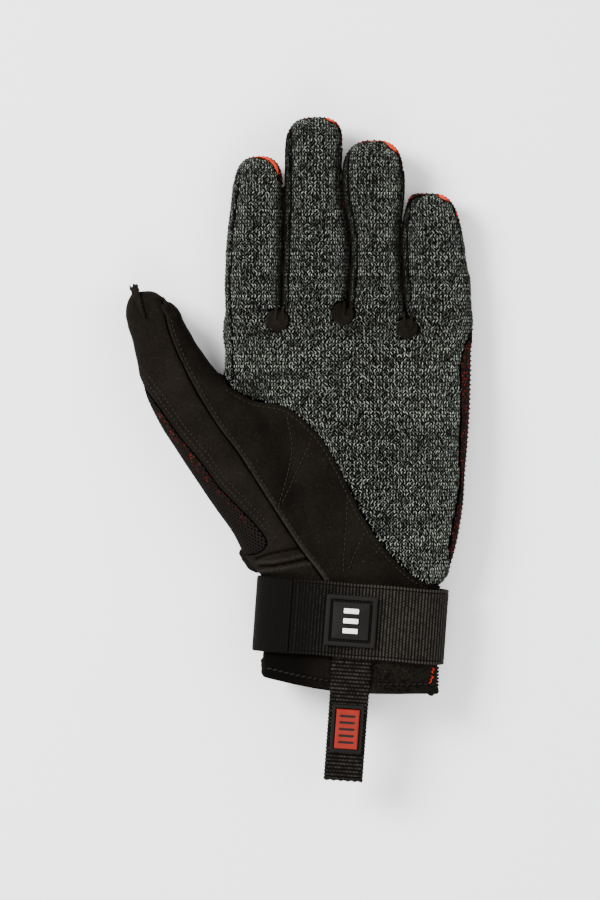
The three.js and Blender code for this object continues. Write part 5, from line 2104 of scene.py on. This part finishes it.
@dataclass
class WristStrap:
    """Ribbed webbing round the wrist, with a finer elastic band on the thumb side."""

    rib_pitch: float = 1.42
    pick_pitch: float = 1.25
    rib_rise: float = 0.42
    elastic_pitch: float = 1.3
    elastic_slant: float = 1.45
    elastic_pick: float = 1.2
    elastic_ribbed: float = 13.0
    elastic_from: float = -25.6
    edge_band: float = 1.9
    step: float = 0.29
    zigzag_u: float = -23.3
    zigzag_reach: float = 14.6
    zigzag_step: float = 0.8
    zigzag_swing: float = 0.55

    def path(self) -> tuple[np.ndarray, np.ndarray]:
        """Middle line of the strap, as its u and w at even steps, and the outward normals."""
        angle = np.linspace(0, TAU, 2400, endpoint=False)
        offset = SIZES.strap_clearance + SIZES.strap_thickness / 2
        u = (SIZES.wrist_width / 2 + offset) * softened(np.cos(angle))
        middle = (SIZES.wrist_bed + SIZES.wrist_top) / 2
        w = middle + (SIZES.wrist_depth / 2 + offset) * softened(np.sin(angle))
        line = np.vstack([np.column_stack([u, w]), [[u[0], w[0]]]])
        even = even_points(line, self.step)
        along = np.roll(even, -1, axis=0) - np.roll(even, 1, axis=0)
        along /= np.linalg.norm(along, axis=1)[:, None]
        return even, np.column_stack([along[:, 1], -along[:, 0]])

    def relief(self, place: np.ndarray, v: np.ndarray, elastic: bool) -> np.ndarray:
        """Height of the weave.

        Args:
            place: length along the strap.
            v: place across it.
            elastic: whether this is the elastic band.

        Returns:
            Shares of the full rise, from 0 to 1.
        """
        half = SIZES.strap_width / 2
        near = half - np.abs(v)
        if elastic:
            turns = place / self.elastic_pitch
            lines = np.abs(np.sin(math.pi * turns + np.sin(v * 2.4) * 0.6))
            slanted = (v + place * 0.3 + 0.12 * np.sin(place * 1.9)) / self.elastic_slant
            fine = 0.3 * lines + 0.55 * np.abs(np.sin(math.pi * slanted))
            ribbed = np.clip(1.1 - place / self.elastic_ribbed, 0, 1)
            picks = 0.62 + 0.38 * np.cos(TAU * v / self.elastic_pick + math.pi * np.floor(turns))
            ribs = np.abs(np.sin(math.pi * turns)) ** 1.2 * picks
            return (fine + (ribs - fine) * ribbed) * np.where(near < 1.0, 0.8, 1.0)
        rib = np.abs(np.cos(math.pi * place / self.rib_pitch)) ** 1.1
        number = np.floor(place / self.rib_pitch + 0.5).astype(int)
        pick = 0.5 + 0.5 * np.cos(TAU * v / self.pick_pitch + math.pi * number)
        bead = np.floor(v / self.pick_pitch + 0.5 * (number % 2) + 20).astype(int)
        uneven = np.random.default_rng(3).uniform(0.72, 1.0, (400, 60))[number % 400, bead % 60]
        body = rib * (0.58 + 0.42 * pick) * uneven
        ladder = (0.55 + 0.3 * np.cos(TAU * place / self.rib_pitch)) * np.where(
            np.abs(near - 0.75) < 0.65, 1.0, 0.3)
        return np.where(near < self.edge_band, ladder, body)

    def band(self, name: str, node: str, elastic: bool, material: bpy.types.Material) -> bpy.types.Object:
        """Builds the woven band or the elastic one.

        Args:
            name: name of the piece.
            node: CAD node that it replaces.
            elastic: which of the two.
            material: its finish.

        Returns:
            The piece.
        """
        line, normal = self.path()
        on_side = line[:, 0] < self.elastic_from if elastic else line[:, 0] > self.elastic_from
        order = np.arange(len(line))
        start = int(np.argmax(~on_side & np.roll(on_side, -1))) + 1
        order = np.roll(order, -start)
        order = order[on_side[order]]
        line, normal = line[order], normal[order]
        place = np.arange(len(line)) * self.step
        half = SIZES.strap_width / 2
        across = np.concatenate([
            np.linspace(-half, -half + self.edge_band, 9)[:-1],
            np.linspace(-half + self.edge_band, half - self.edge_band, 62)[:-1],
            np.linspace(half - self.edge_band, half, 9),
        ])
        along, v = np.meshgrid(place, across, indexing="ij")
        height = self.relief(along.ravel(), v.ravel(), elastic).reshape(along.shape)
        rise = self.rib_rise * (0.55 if elastic else 1.0)
        thick = SIZES.strap_thickness / 2
        out = (thick - rise * 0.6 + height * rise) * self.taper(v)
        under = np.tile(np.linspace(half, -half, 8), (len(place), 1))
        v = np.hstack([v, under])
        depth = np.hstack([out, -(thick - 0.1) * self.taper(under)])
        height = np.hstack([height, np.full(under.shape, 0.3)])
        wave = 0.3 * np.sin(place / 17.0)[:, None] + 0.15 * np.sin(place / 5.3 + 1.0)[:, None]
        edge_v = v + wave * (np.abs(v) / half) ** 3
        u = line[:, 0][:, None] + normal[:, 0][:, None] * depth
        w = line[:, 1][:, None] + normal[:, 1][:, None] * depth
        points = StrapFrame.to_part(u.ravel(), edge_v.ravel(), w.ravel())
        points[:, 2] = np.maximum(points[:, 2], 0.02)
        # Painted shade: the tone of the weave is darker towards the left end of the band.
        tone_and_painted_light = np.interp(u, (-30.0, -20.0, 8.0), (0.42, 0.48, 1.0))
        weave = np.column_stack([np.repeat(place, v.shape[1]), v.ravel(), (height * tone_and_painted_light).ravel()])
        piece = make_mesh(name, points, sleeve_quads(*v.shape), weave)
        dress(piece, material, [node])
        FLAT_CUTS[node].declare(piece)
        return piece

    @staticmethod
    def taper(v: np.ndarray) -> np.ndarray:
        """Share of its thickness that the band has at a place across it."""
        return 0.35 + 0.65 * np.clip((SIZES.strap_width / 2 - np.abs(v)) / 0.5, 0, 1) ** 0.5

    def zigzag(self, material: bpy.types.Material) -> bpy.types.Object:
        """Sewn zigzag beside the elastic band."""
        line, _ = self.path()
        on_top = line[:, 1] > SIZES.wrist_bed + SIZES.wrist_depth / 2
        beads = Beads()
        turns = np.arange(-self.zigzag_reach, self.zigzag_reach + 0.1, self.zigzag_step)
        u = self.zigzag_u + self.zigzag_swing * np.where(np.arange(len(turns)) % 2, 1, -1)
        top = line[on_top]
        order = np.argsort(top[:, 0])
        w = np.interp(u, top[order, 0], top[order, 1]) + SIZES.strap_thickness / 2 + 0.12
        points = StrapFrame.to_part(u, turns, w)
        for start, end in zip(points[:-1], points[1:]):
            beads.capsule(start, end, 0.2, 0.1)
        return beads.build("strap_zigzag_stitches", material, "webbing")


def sleeve_quads(rows: int, columns: int) -> np.ndarray:
    """Quads of a band whose section is a closed line of points, with both of its ends closed.

    Args:
        rows: sections.
        columns: points of each section, an even number.

    Returns:
        The quads.
    """
    number = np.arange(rows * columns).reshape(rows, columns)
    after = np.roll(number, -1, axis=1)
    sides = np.stack([number[:-1], after[:-1], after[1:], number[1:]], axis=-1).reshape(-1, 4)
    half = columns // 2
    low = np.arange(half - 1)
    ends = []
    for row, flip in ((number[0], True), (number[-1], False)):
        quad = np.column_stack([row[low], row[low + 1], row[columns - 2 - low], row[columns - 1 - low]])
        ends.append(quad[:, ::-1] if flip else quad)
    return np.vstack([sides] + ends)


def rounded_outline(width: float, height: float, corner: float, steps: int = 5) -> np.ndarray:
    """Outline of a plate with round corners, going round to the left.

    Args:
        width: its width.
        height: its height.
        corner: radius of its corners.
        steps: parts of each corner.

    Returns:
        The points.
    """
    points = []
    for turn, (x, y) in enumerate(((1, 1), (-1, 1), (-1, -1), (1, -1))):
        angle = (turn + np.linspace(0, 1, steps + 1)) * math.pi / 2
        centre = (x * (width / 2 - corner), y * (height / 2 - corner))
        points.append(centre + corner * np.column_stack([np.cos(angle), np.sin(angle)]))
    return np.vstack(points)


def moulding(profile: Sequence[tuple[float, float]], width: float, height: float,
             corner: float) -> tuple[np.ndarray, np.ndarray]:
    """A moulded plate whose section is a profile that steps inwards from its edge.

    Args:
        profile: pairs of inset and height, from the lower edge to the middle.
        width: its width.
        height: its height.
        corner: radius of its corners.

    Returns:
        Its points and quads. The first and the last loops are closed by grids of quads.
    """
    loops = []
    for inset, level in profile:
        loop = rounded_outline(width - 2 * inset, height - 2 * inset, max(corner - inset, 0.12))
        loops.append(np.column_stack([loop, np.full(len(loop), level)]))
    count = len(loops[0])
    points = np.vstack(loops + [loops[0].mean(axis=0)[None], loops[-1].mean(axis=0)[None]])
    here = np.arange(count)
    after = (here + 1) % count
    quads = [np.column_stack([k * count + here, k * count + after, (k + 1) * count + after,
                              (k + 1) * count + here]) for k in range(len(loops) - 1)]
    low, top = len(points) - 2, len(points) - 1
    end = (len(loops) - 1) * count
    pairs = np.arange(0, count, 2)
    quads.append(np.column_stack([np.full(len(pairs), low), (pairs + 2) % count, pairs + 1, pairs]))
    quads.append(np.column_stack([np.full(len(pairs), top), end + pairs, end + pairs + 1,
                                  end + (pairs + 2) % count]))
    return points, np.vstack(quads)


def place_at(points: np.ndarray, centre: tuple[float, float, float], droop: float = 0.0) -> np.ndarray:
    """Moves points of a plate to a place on the strap or the tab.

    Args:
        points: points in the plate's own frame.
        centre: u, v and w of the plate's middle.
        droop: how far the plate hangs down at its lower end, in radians.

    Returns:
        The points in the part.
    """
    x, y, z = points.T
    cosine, sine = math.cos(droop), math.sin(droop)
    v = centre[1] + y * cosine - z * sine
    w = centre[2] + y * sine + z * cosine
    return StrapFrame.to_part(centre[0] + x, v, w)


@dataclass(frozen=True)
class SizeBadge:
    """Square moulded badge on the strap with three white bars."""

    side: float = 21.8
    corner: float = 0.9
    base: float = 1.0
    relief: float = 0.9
    rim: float = 1.9
    groove: float = 1.1
    bars: int = 3
    bar_width: float = 6.4
    bar_pitch: float = 4.24
    bar_relief: float = 0.5
    gap: float = 0.3

    @property
    def low(self) -> float:
        """Height of its back."""
        return SIZES.strap_face + self.gap

    def build(self, rubber: bpy.types.Material, thread: bpy.types.Material) -> None:
        """Makes the badge and the stitches in its groove."""
        top = self.base + self.relief
        inner = self.rim + self.groove
        profile = [
            (0.15, 0.0), (0.0, 0.15), (0.0, top - 0.3), (0.12, top - 0.06), (0.3, top),
            (self.rim - 0.28, top), (self.rim - 0.1, top - 0.08), (self.rim, top - 0.25),
            (self.rim + 0.03, self.base - 0.4),
            (inner - 0.03, self.base - 0.4), (inner, top - 0.3), (inner + 0.1, top - 0.1), (inner + 0.3, top),
        ]
        points, quads = moulding(profile, self.side, self.side, self.corner)
        piece = make_mesh("size_badge_moulding", place_at(points, (0.0, 0.0, self.low)), quads)
        dress(piece, rubber, ["size_badge"])
        beads = Beads()
        offset = self.side / 2 - self.rim - self.groove / 2
        corners = np.array([(-1, -1), (1, -1), (1, 1), (-1, 1), (-1, -1)], float) * offset
        for start, end in zip(corners[:-1], corners[1:]):
            for spot in even_points(np.array([start, end]), 1.5)[:-1]:
                heading = (end - start) / np.linalg.norm(end - start)
                pair = np.array([spot + heading * 0.3, spot + heading * 1.1])
                ends = np.column_stack([pair, np.full(2, self.base + 0.05)])
                ends = place_at(ends, (0.0, 0.0, self.low))
                beads.capsule(ends[0], ends[1], 0.2, 0.12)
        beads.build("size_badge_stitches", thread, "rubber")

    def build_bars(self, white: bpy.types.Material) -> None:
        """Makes the white bars."""
        height = self.bar_pitch / 2
        low = self.low + self.base + self.relief + self.gap
        top = self.bar_relief
        profile = [(0.1, 0.0), (0.0, 0.1), (0.0, top - 0.15), (0.05, top - 0.04), (0.15, top)]
        for number in range(self.bars):
            points, quads = moulding(profile, self.bar_width, height, 0.3)
            v = (number - (self.bars - 1) / 2) * self.bar_pitch
            name = f"size_bar_{number + 1}"
            piece = make_mesh(name + "_print", place_at(points, (0.0, v, low)), quads)
            dress(piece, white, [name])


@dataclass(frozen=True)
class PullTab:
    """Ribbed webbing tab below the badge, with a framed orange grip."""

    width: float = 16.8
    thickness: float = 1.4
    shift: float = 1.7
    start: float = -6.1
    bend: float = -31.8
    low: float = 29.1
    free_length: float = 38.0
    droop_deg: float = 12.0
    rib_pitch: float = 1.62
    pick_pitch: float = 1.45
    rib_rise: float = 0.42
    badge_width: float = 13.5
    badge_length: float = 21.0
    rim: float = 1.5
    base: float = 0.8
    relief: float = 0.9
    insert_relief: float = 1.6
    grooves: int = 5
    margin: float = 1.6
    past_bend: float = 14.4
    gap: float = 0.3

    @property
    def droop(self) -> float:
        """Droop in radians."""
        return math.radians(self.droop_deg)

    @property
    def badge_centre(self) -> tuple[float, float, float]:
        """Place of the badge's middle on the face of the tab."""
        return (
            self.shift, self.bend - self.past_bend * math.cos(self.droop),
            self.low + self.thickness / math.cos(self.droop) - self.past_bend * math.sin(self.droop),
        )

    def height(self, v: np.ndarray) -> np.ndarray:
        """Height of the tab's lower face, with a soft bend."""
        past = self.bend - v
        soft = 1.5
        bent = np.where(past > soft, past, np.where(past < -soft, 0, (past + soft) ** 2 / (4 * soft)))
        return self.low - bent * math.tan(self.droop)

    def ribbon(self, material: bpy.types.Material) -> None:
        """Makes the woven ribbon."""
        end = self.bend - self.free_length * math.cos(self.droop)
        rows = np.arange(self.start, end, -0.23)
        rows = np.append(rows, end)
        half = self.width / 2
        columns = np.linspace(-half, half, 48)
        v, u = np.meshgrid(rows, columns, indexing="ij")
        near = half - np.abs(u)
        count = np.floor(v / self.rib_pitch + 0.5)
        rib = np.abs(np.cos(math.pi * v / self.rib_pitch)) ** 1.1
        pick = 0.5 + 0.5 * np.cos(TAU * u / self.pick_pitch + math.pi * count)
        chooser = np.random.default_rng(11)
        uneven = chooser.uniform(0.6, 1.0, (int(-count.min()) + 2, 18))
        uneven = uneven[(-count).astype(int) + 1, np.clip(((u + half) / self.pick_pitch).astype(int), 0, 17)]
        height = rib * (0.6 + 0.4 * pick) * uneven
        last = np.clip((v - end) / 1.3, 0, 1)
        height *= 0.4 + 0.6 * last
        thick = self.thickness / 2
        taper = 0.4 + 0.6 * np.clip(near / 0.5, 0, 1) ** 0.5
        depth = (thick + self.rib_rise * (height - 0.6)) * taper * (0.7 + 0.3 * last)
        notch = 0.16 * np.cos(TAU * v / self.rib_pitch) * np.clip(1 - near / 0.8, 0, 1) * np.sign(u)
        ragged = 0.22 * np.sin(u * 2.1 + 0.6) + 0.15 * np.sin(u * 5.3)
        ends = v + ragged * np.clip(1 - (v - end) / 1.2, 0, 1)
        middle = self.height(v) + thick
        front = (u + notch, ends, middle + depth)
        back = (u + notch, ends, middle - depth)
        stack = [np.hstack([a, b[:, ::-1]]) for a, b in zip(front, back)]
        points = StrapFrame.to_part(stack[0].ravel() + self.shift, stack[1].ravel(), stack[2].ravel())
        weave = np.column_stack([
            np.hstack([v, v[:, ::-1]]).ravel(), np.hstack([u, u[:, ::-1]]).ravel(),
            0.84 * np.hstack([height, height[:, ::-1]]).ravel(),
        ])
        quads = sleeve_quads(*stack[0].shape)
        piece = make_mesh("pull_tab_ribbon", points, quads, weave)
        dress(piece, material, ["pull_tab"])
        FLAT_CUTS["pull_tab"].declare(piece)

    def frame(self, rubber: bpy.types.Material) -> None:
        """Makes the rubber frame."""
        top = self.base + self.relief
        profile = [
            (0.15, 0.0), (0.0, 0.15), (0.0, top - 0.3), (0.1, top - 0.08), (0.28, top),
            (self.rim - 0.28, top), (self.rim - 0.08, top - 0.1), (self.rim, top - 0.3),
            (self.rim + 0.02, self.base),
        ]
        points, quads = moulding(profile, self.badge_width, self.badge_length, 0.75)
        points[:, 2] += self.gap
        points = place_at(points, self.badge_centre, self.droop)
        dress(make_mesh("tab_badge_moulding", points, quads), rubber, ["tab_badge"])

    def insert(self, orange: bpy.types.Material) -> None:
        """Makes the orange insert with plain grip grooves."""
        width = self.badge_width - 2 * (self.rim + self.gap)
        length = self.badge_length - 2 * (self.rim + self.gap)
        edge = np.array([0.0, 0.05, 0.2, 0.4, 0.62])
        columns, rows = (
            np.concatenate([edge, np.linspace(0.8, size - 0.8, count), size - edge[::-1]]) - size / 2
            for size, count in ((width, 24), (length, 64))
        )
        v, u = np.meshgrid(rows, columns, indexing="ij")
        inset = np.minimum(width / 2 - np.abs(u), length / 2 - np.abs(v))
        bevel = np.clip(1 - inset / 0.62, 0, 1) ** 2 * 0.55
        pitch = length / (self.grooves + 1)
        groove = np.zeros(v.shape)
        for number in range(self.grooves):
            middle = (number - (self.grooves - 1) / 2) * pitch
            reach = np.hypot(np.maximum(np.abs(u) - (width / 2 - self.margin - 0.5), 0), v - middle)
            groove = np.maximum(groove, np.clip((0.62 - reach) / 0.24, 0, 1))
        height = self.insert_relief - bevel - 0.5 * groove
        front = (u, v, height)
        back = (u, v, np.zeros(u.shape))
        stack = [np.hstack([a[:, ::-1], b]) for a, b in zip(front, back)]
        points = np.column_stack([one.ravel() for one in stack])
        points[:, 2] += 2 * self.gap + self.base
        weave = np.column_stack([
            stack[0].ravel(), stack[1].ravel(), np.hstack([groove[:, ::-1], groove * 0]).ravel(),
        ])
        points = place_at(points, self.badge_centre, self.droop)
        piece = make_mesh("tab_badge_grip", points, sleeve_quads(*stack[0].shape), weave)
        dress(piece, orange, ["tab_badge_insert"])


@dataclass(frozen=True)
class GripFinish:
    """Orange rubber, darker in its grooves."""

    base: Colour = (0.175, 0.0085, 0.0034)
    groove_dark: Colour = (0.002, 0.006, 0.006)

    def build(self) -> bpy.types.Material:
        """Makes the material."""
        bench = Bench("orange_grip")
        u, v, groove = bench.weave()
        place = bench.place()
        cloud = bench.ramp(bench.noise(place, 160.0, 3.0), 0.3, 0.7)
        orange = bench.blend(cloud, tuple(value * 0.85 for value in self.base), self.base)
        wavy = groove + (bench.noise(bench.point(u, v), 2.5, 1.0) - 0.5) * 0.3
        # The grooves are darker.
        colour = bench.blend(bench.ramp(wavy, 0.35, 0.6), orange, self.groove_dark)
        grain = bench.noise(place, 1800.0, 2.0)
        return bench.finish(colour, 0.55, grain, 0.03, specular=0.15)


# The whole glove


class Glove:
    """All pieces of the glove, built in the order in which it is sewn."""

    def __init__(self) -> None:
        """Builds the finishes and the form."""
        self.shell = GloveShell()
        self.knit = KnitFinish().build()
        self.suede = SuedeFinish().build()
        # A darker copy of the suede, as painted shade on the thenar panel.
        self.palm_suede = SuedeFinish("palm_suede", (0.0029, 0.0022, 0.0017), (0.0061, 0.005, 0.0038)).build()
        self.rolled = SuedeFinish("rolled_suede", (0.004, 0.0032, 0.0025), (0.0088, 0.0074, 0.0059)).build()
        # The cuff's suede, with painted shade on its left side; its first colour is that shade.
        self.cuff_suede = SuedeFinish(
            "cuff_suede", (0.0014, 0.0011, 0.0009), (0.0138, 0.0116, 0.0092), painted_shade_left=True).build()
        self.folded = SuedeFinish("folded_suede", (0.0045, 0.0037, 0.0029), (0.0105, 0.0088, 0.007)).build()
        self.mesh = AirMeshFinish("air_mesh_thumb", 0.75, banded=True).build()
        self.back_mesh = AirMeshFinish("air_mesh_back", 0.4).build()
        self.tip_cloth = AirMeshFinish("fingertip_cloth", 0.9, patch=True).build()
        self.webbing = WebbingFinish().build()
        self.rubber = RubberFinish("black_rubber", (0.004, 0.0034, 0.0029), 0.65).build()
        self.white = RubberFinish("white_print", (0.78, 0.76, 0.7), 0.6).build()
        self.thread = ThreadFinish("black_thread", (0.022, 0.019, 0.016)).build()
        self.edging = ThreadFinish("edge_thread", (0.0085, 0.0075, 0.0065)).build()
        self.grip = GripFinish().build()

    def panels(self) -> list[tuple[Panel, bpy.types.Material]]:
        """All panels with their materials."""
        shell = self.shell
        left, right, low, high = GLOVE_BOX
        front, thumb = Side.HAND_FRONT, Side.THUMB
        out = [
            (Panel("back_panel", (left, right, low, high), shell.back, "mesh_cloth", Side.HAND_BACK,
                   None, 0.98), self.back_mesh),
            (Panel("palm_knit", (-57.0, 58.0, -62.0, high), shell.knit, "knit", front,
                   shell.knit_relief, 0.85), self.knit),
            (Panel("thenar_panel", (-90.0, 50.0, -76.0, 74.0),
                   lambda space: np.maximum(
                       shell.panel_region(shell.thenar_outline(), space), -shell.pads(space)),
                   "suede", thumb, shell.thenar_relief), self.palm_suede),
            (Panel("thumb_outer_panel", (left, -2.0, -76.0, 74.0),
                   lambda space: shell.panel_region(shell.outer_outline(), space),
                   "suede", thumb, shell.outer_relief), self.suede),
            (Panel("thumb_mesh_gusset", (-96.0, -24.0, -52.0, 36.0),
                   lambda space: shell.panel_region(shell.gusset_outline(), space),
                   "mesh_cloth", thumb, shell.mesh_relief, 0.5), self.mesh),
            (Panel("cuff_front", (-42.0, 47.0, -114.0, -69.0), shell.cuff, "suede", front,
                   shell.cuff_relief, 0.55), self.cuff_suede),
        ]
        for number, pad in enumerate(PADS):
            x, y = pad.centre
            box = (x - 9.0, x + 9.0, y - 9.0, y + 9.0)
            out.append((Panel("web_pad_" + pad.name, box, self.pad_region(number), "suede", front,
                              shell.pad_relief, 0.4, 0.4), self.suede))
            left_finger, right_finger = FINGERS[number], FINGERS[number + 1]
            crease = float(edge_x(left_finger.right, SIZES.crotch_y))
            reach = SIZES.crotch_y + max(left_finger.length, right_finger.length)
            box = (crease - 13.0, crease + 13.0, 48.0, reach)
            out.append((Panel("finger_side_strip_" + pad.name, box, self.strip_region(number), "suede", front,
                              shell.strip_relief, 0.6, 0.4), self.suede))
        for finger in FINGERS:
            end = finger.tip_y
            start = end - SIZES.patch_length
            box = (float(edge_x(finger.left, start)) - 3.0, float(edge_x(finger.right, start)) + 3.0,
                   start - 2.0, end + 3.0)
            out.append((Panel("fingertip_patch_" + finger.name, box, self.tip_region(finger), "orange_cloth",
                              Side.HAND_BACK, None, 0.5, 0.35), self.tip_cloth))
        return out

    def pad_region(self, number: int) -> Field:
        """Region of one pad."""
        return lambda space: self.shell.pad(number, space)

    def strip_region(self, number: int) -> Field:
        """Region of one strip."""
        return lambda space: np.maximum(self.shell.strip(number, space), -self.shell.tips(space))

    def tip_region(self, finger: Finger) -> Field:
        """Region of one fingertip."""
        return lambda space: self.shell.tip(finger, space)

    def build(self) -> None:
        """Makes every piece."""
        panels = self.panels()
        for panel, material in panels:
            self.shell.build(panel, material)
        knit = next(panel for panel, _ in panels if panel.name == "palm_knit")
        KnitStrands(self.shell).build(knit, StrandFinish().build())
        self.shell.build_tip_fold(self.folded)
        sewing = Stitching(self.shell.form)
        sewing.seams().build("seam_stitches", self.thread, "suede")
        sewing.hem(self.shell.hem).build("cuff_hem_stitches", self.edging, "suede")
        sewing.edges().build("edge_overlock", self.edging, "suede")
        orange = ThreadFinish("orange_thread", (0.4, 0.022, 0.008)).build()
        sewing.cuff_threads().build("cuff_orange_threads", orange, "orange_cloth")
        sewing.loops().build("strip_end_loops", self.rolled, "suede")
        sewing.rolls().build("seam_end_rolls", self.rolled, "suede")
        strap = WristStrap()
        strap.band("wrist_strap_webbing", "wrist_strap", False, self.webbing)
        strap.band("strap_elastic_webbing", "strap_elastic", True, self.webbing)
        strap.zigzag(self.edging)
        badge = SizeBadge()
        badge.build(self.rubber, self.edging)
        badge.build_bars(self.white)
        tab = PullTab()
        tab.ribbon(self.webbing)
        tab.frame(self.rubber)
        tab.insert(self.grip)


# Studio


@dataclass(frozen=True)
class Studio:
    """Pale floor, soft lights and the camera straight above."""

    centre: tuple[float, float] = (-0.01935, 0.0)
    distance: float = 2.5
    frame_height: float = 0.387
    focus_height: float = 0.015
    sensor: float = 36.0

    def build(self) -> None:
        """Adds everything that isn't part of the glove."""
        self.floor()
        self.camera()
        self.light("key", (-0.95, 0.55, 1.05), 0.6, 55.0)
        self.light("fill", (0.9, 0.1, 1.1), 1.0, 12.0)
        self.light("low", (0.0, -0.95, 1.0), 0.9, 12.0)
        world = bpy.data.worlds.new("studio")
        world.use_nodes = True
        world.node_tree.nodes["Background"].inputs["Color"].default_value = (1.0, 1.0, 1.0, 1.0)
        world.node_tree.nodes["Background"].inputs["Strength"].default_value = 1.04
        bpy.context.scene.world = world

    def floor(self) -> None:
        """Adds the floor."""
        far = 3000.0
        corners = np.array([(-far, -far, 0), (far, -far, 0), (far, far, 0), (-far, far, 0)], float)
        floor = make_mesh("floor", corners, np.array([[0, 1, 2, 3]]), None, False)
        bench = Bench("floor_paint")
        floor.data.materials.append(bench.finish((0.95, 0.95, 0.95), 0.9))

    def camera(self) -> None:
        """Adds the camera."""
        data = bpy.data.cameras.new("camera")
        data.sensor_fit = "VERTICAL"
        data.sensor_height = self.sensor
        data.lens = self.sensor * (self.distance - self.focus_height) / self.frame_height
        data.clip_start, data.clip_end = 0.05, 20.0
        camera = bpy.data.objects.new("camera", data)
        camera.location = (*self.centre, self.distance)
        bpy.context.scene.collection.objects.link(camera)
        bpy.context.scene.camera = camera

    def light(self, name: str, place: tuple[float, float, float], size: float, power: float) -> None:
        """Adds a square soft light that faces the glove.

        Args:
            name: its name.
            place: where it hangs.
            size: length of its sides.
            power: its power in watts.
        """
        data = bpy.data.lights.new(name, "AREA")
        data.shape = "SQUARE"
        data.size = size
        data.energy = power
        lamp = bpy.data.objects.new(name, data)
        lamp.location = place
        away = -np.array(place)
        heading = away / np.linalg.norm(away)
        lamp.rotation_euler = (math.acos(-heading[2]), 0.0, math.atan2(heading[1], heading[0]) - math.pi / 2)
        bpy.context.scene.collection.objects.link(lamp)


def main() -> None:
    """Builds the glove and its studio."""
    logging.basicConfig(level=logging.INFO, format="%(message)s", stream=sys.stdout)
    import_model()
    Studio().build()
    Glove().build()


if __name__ == "__main__":
    main()
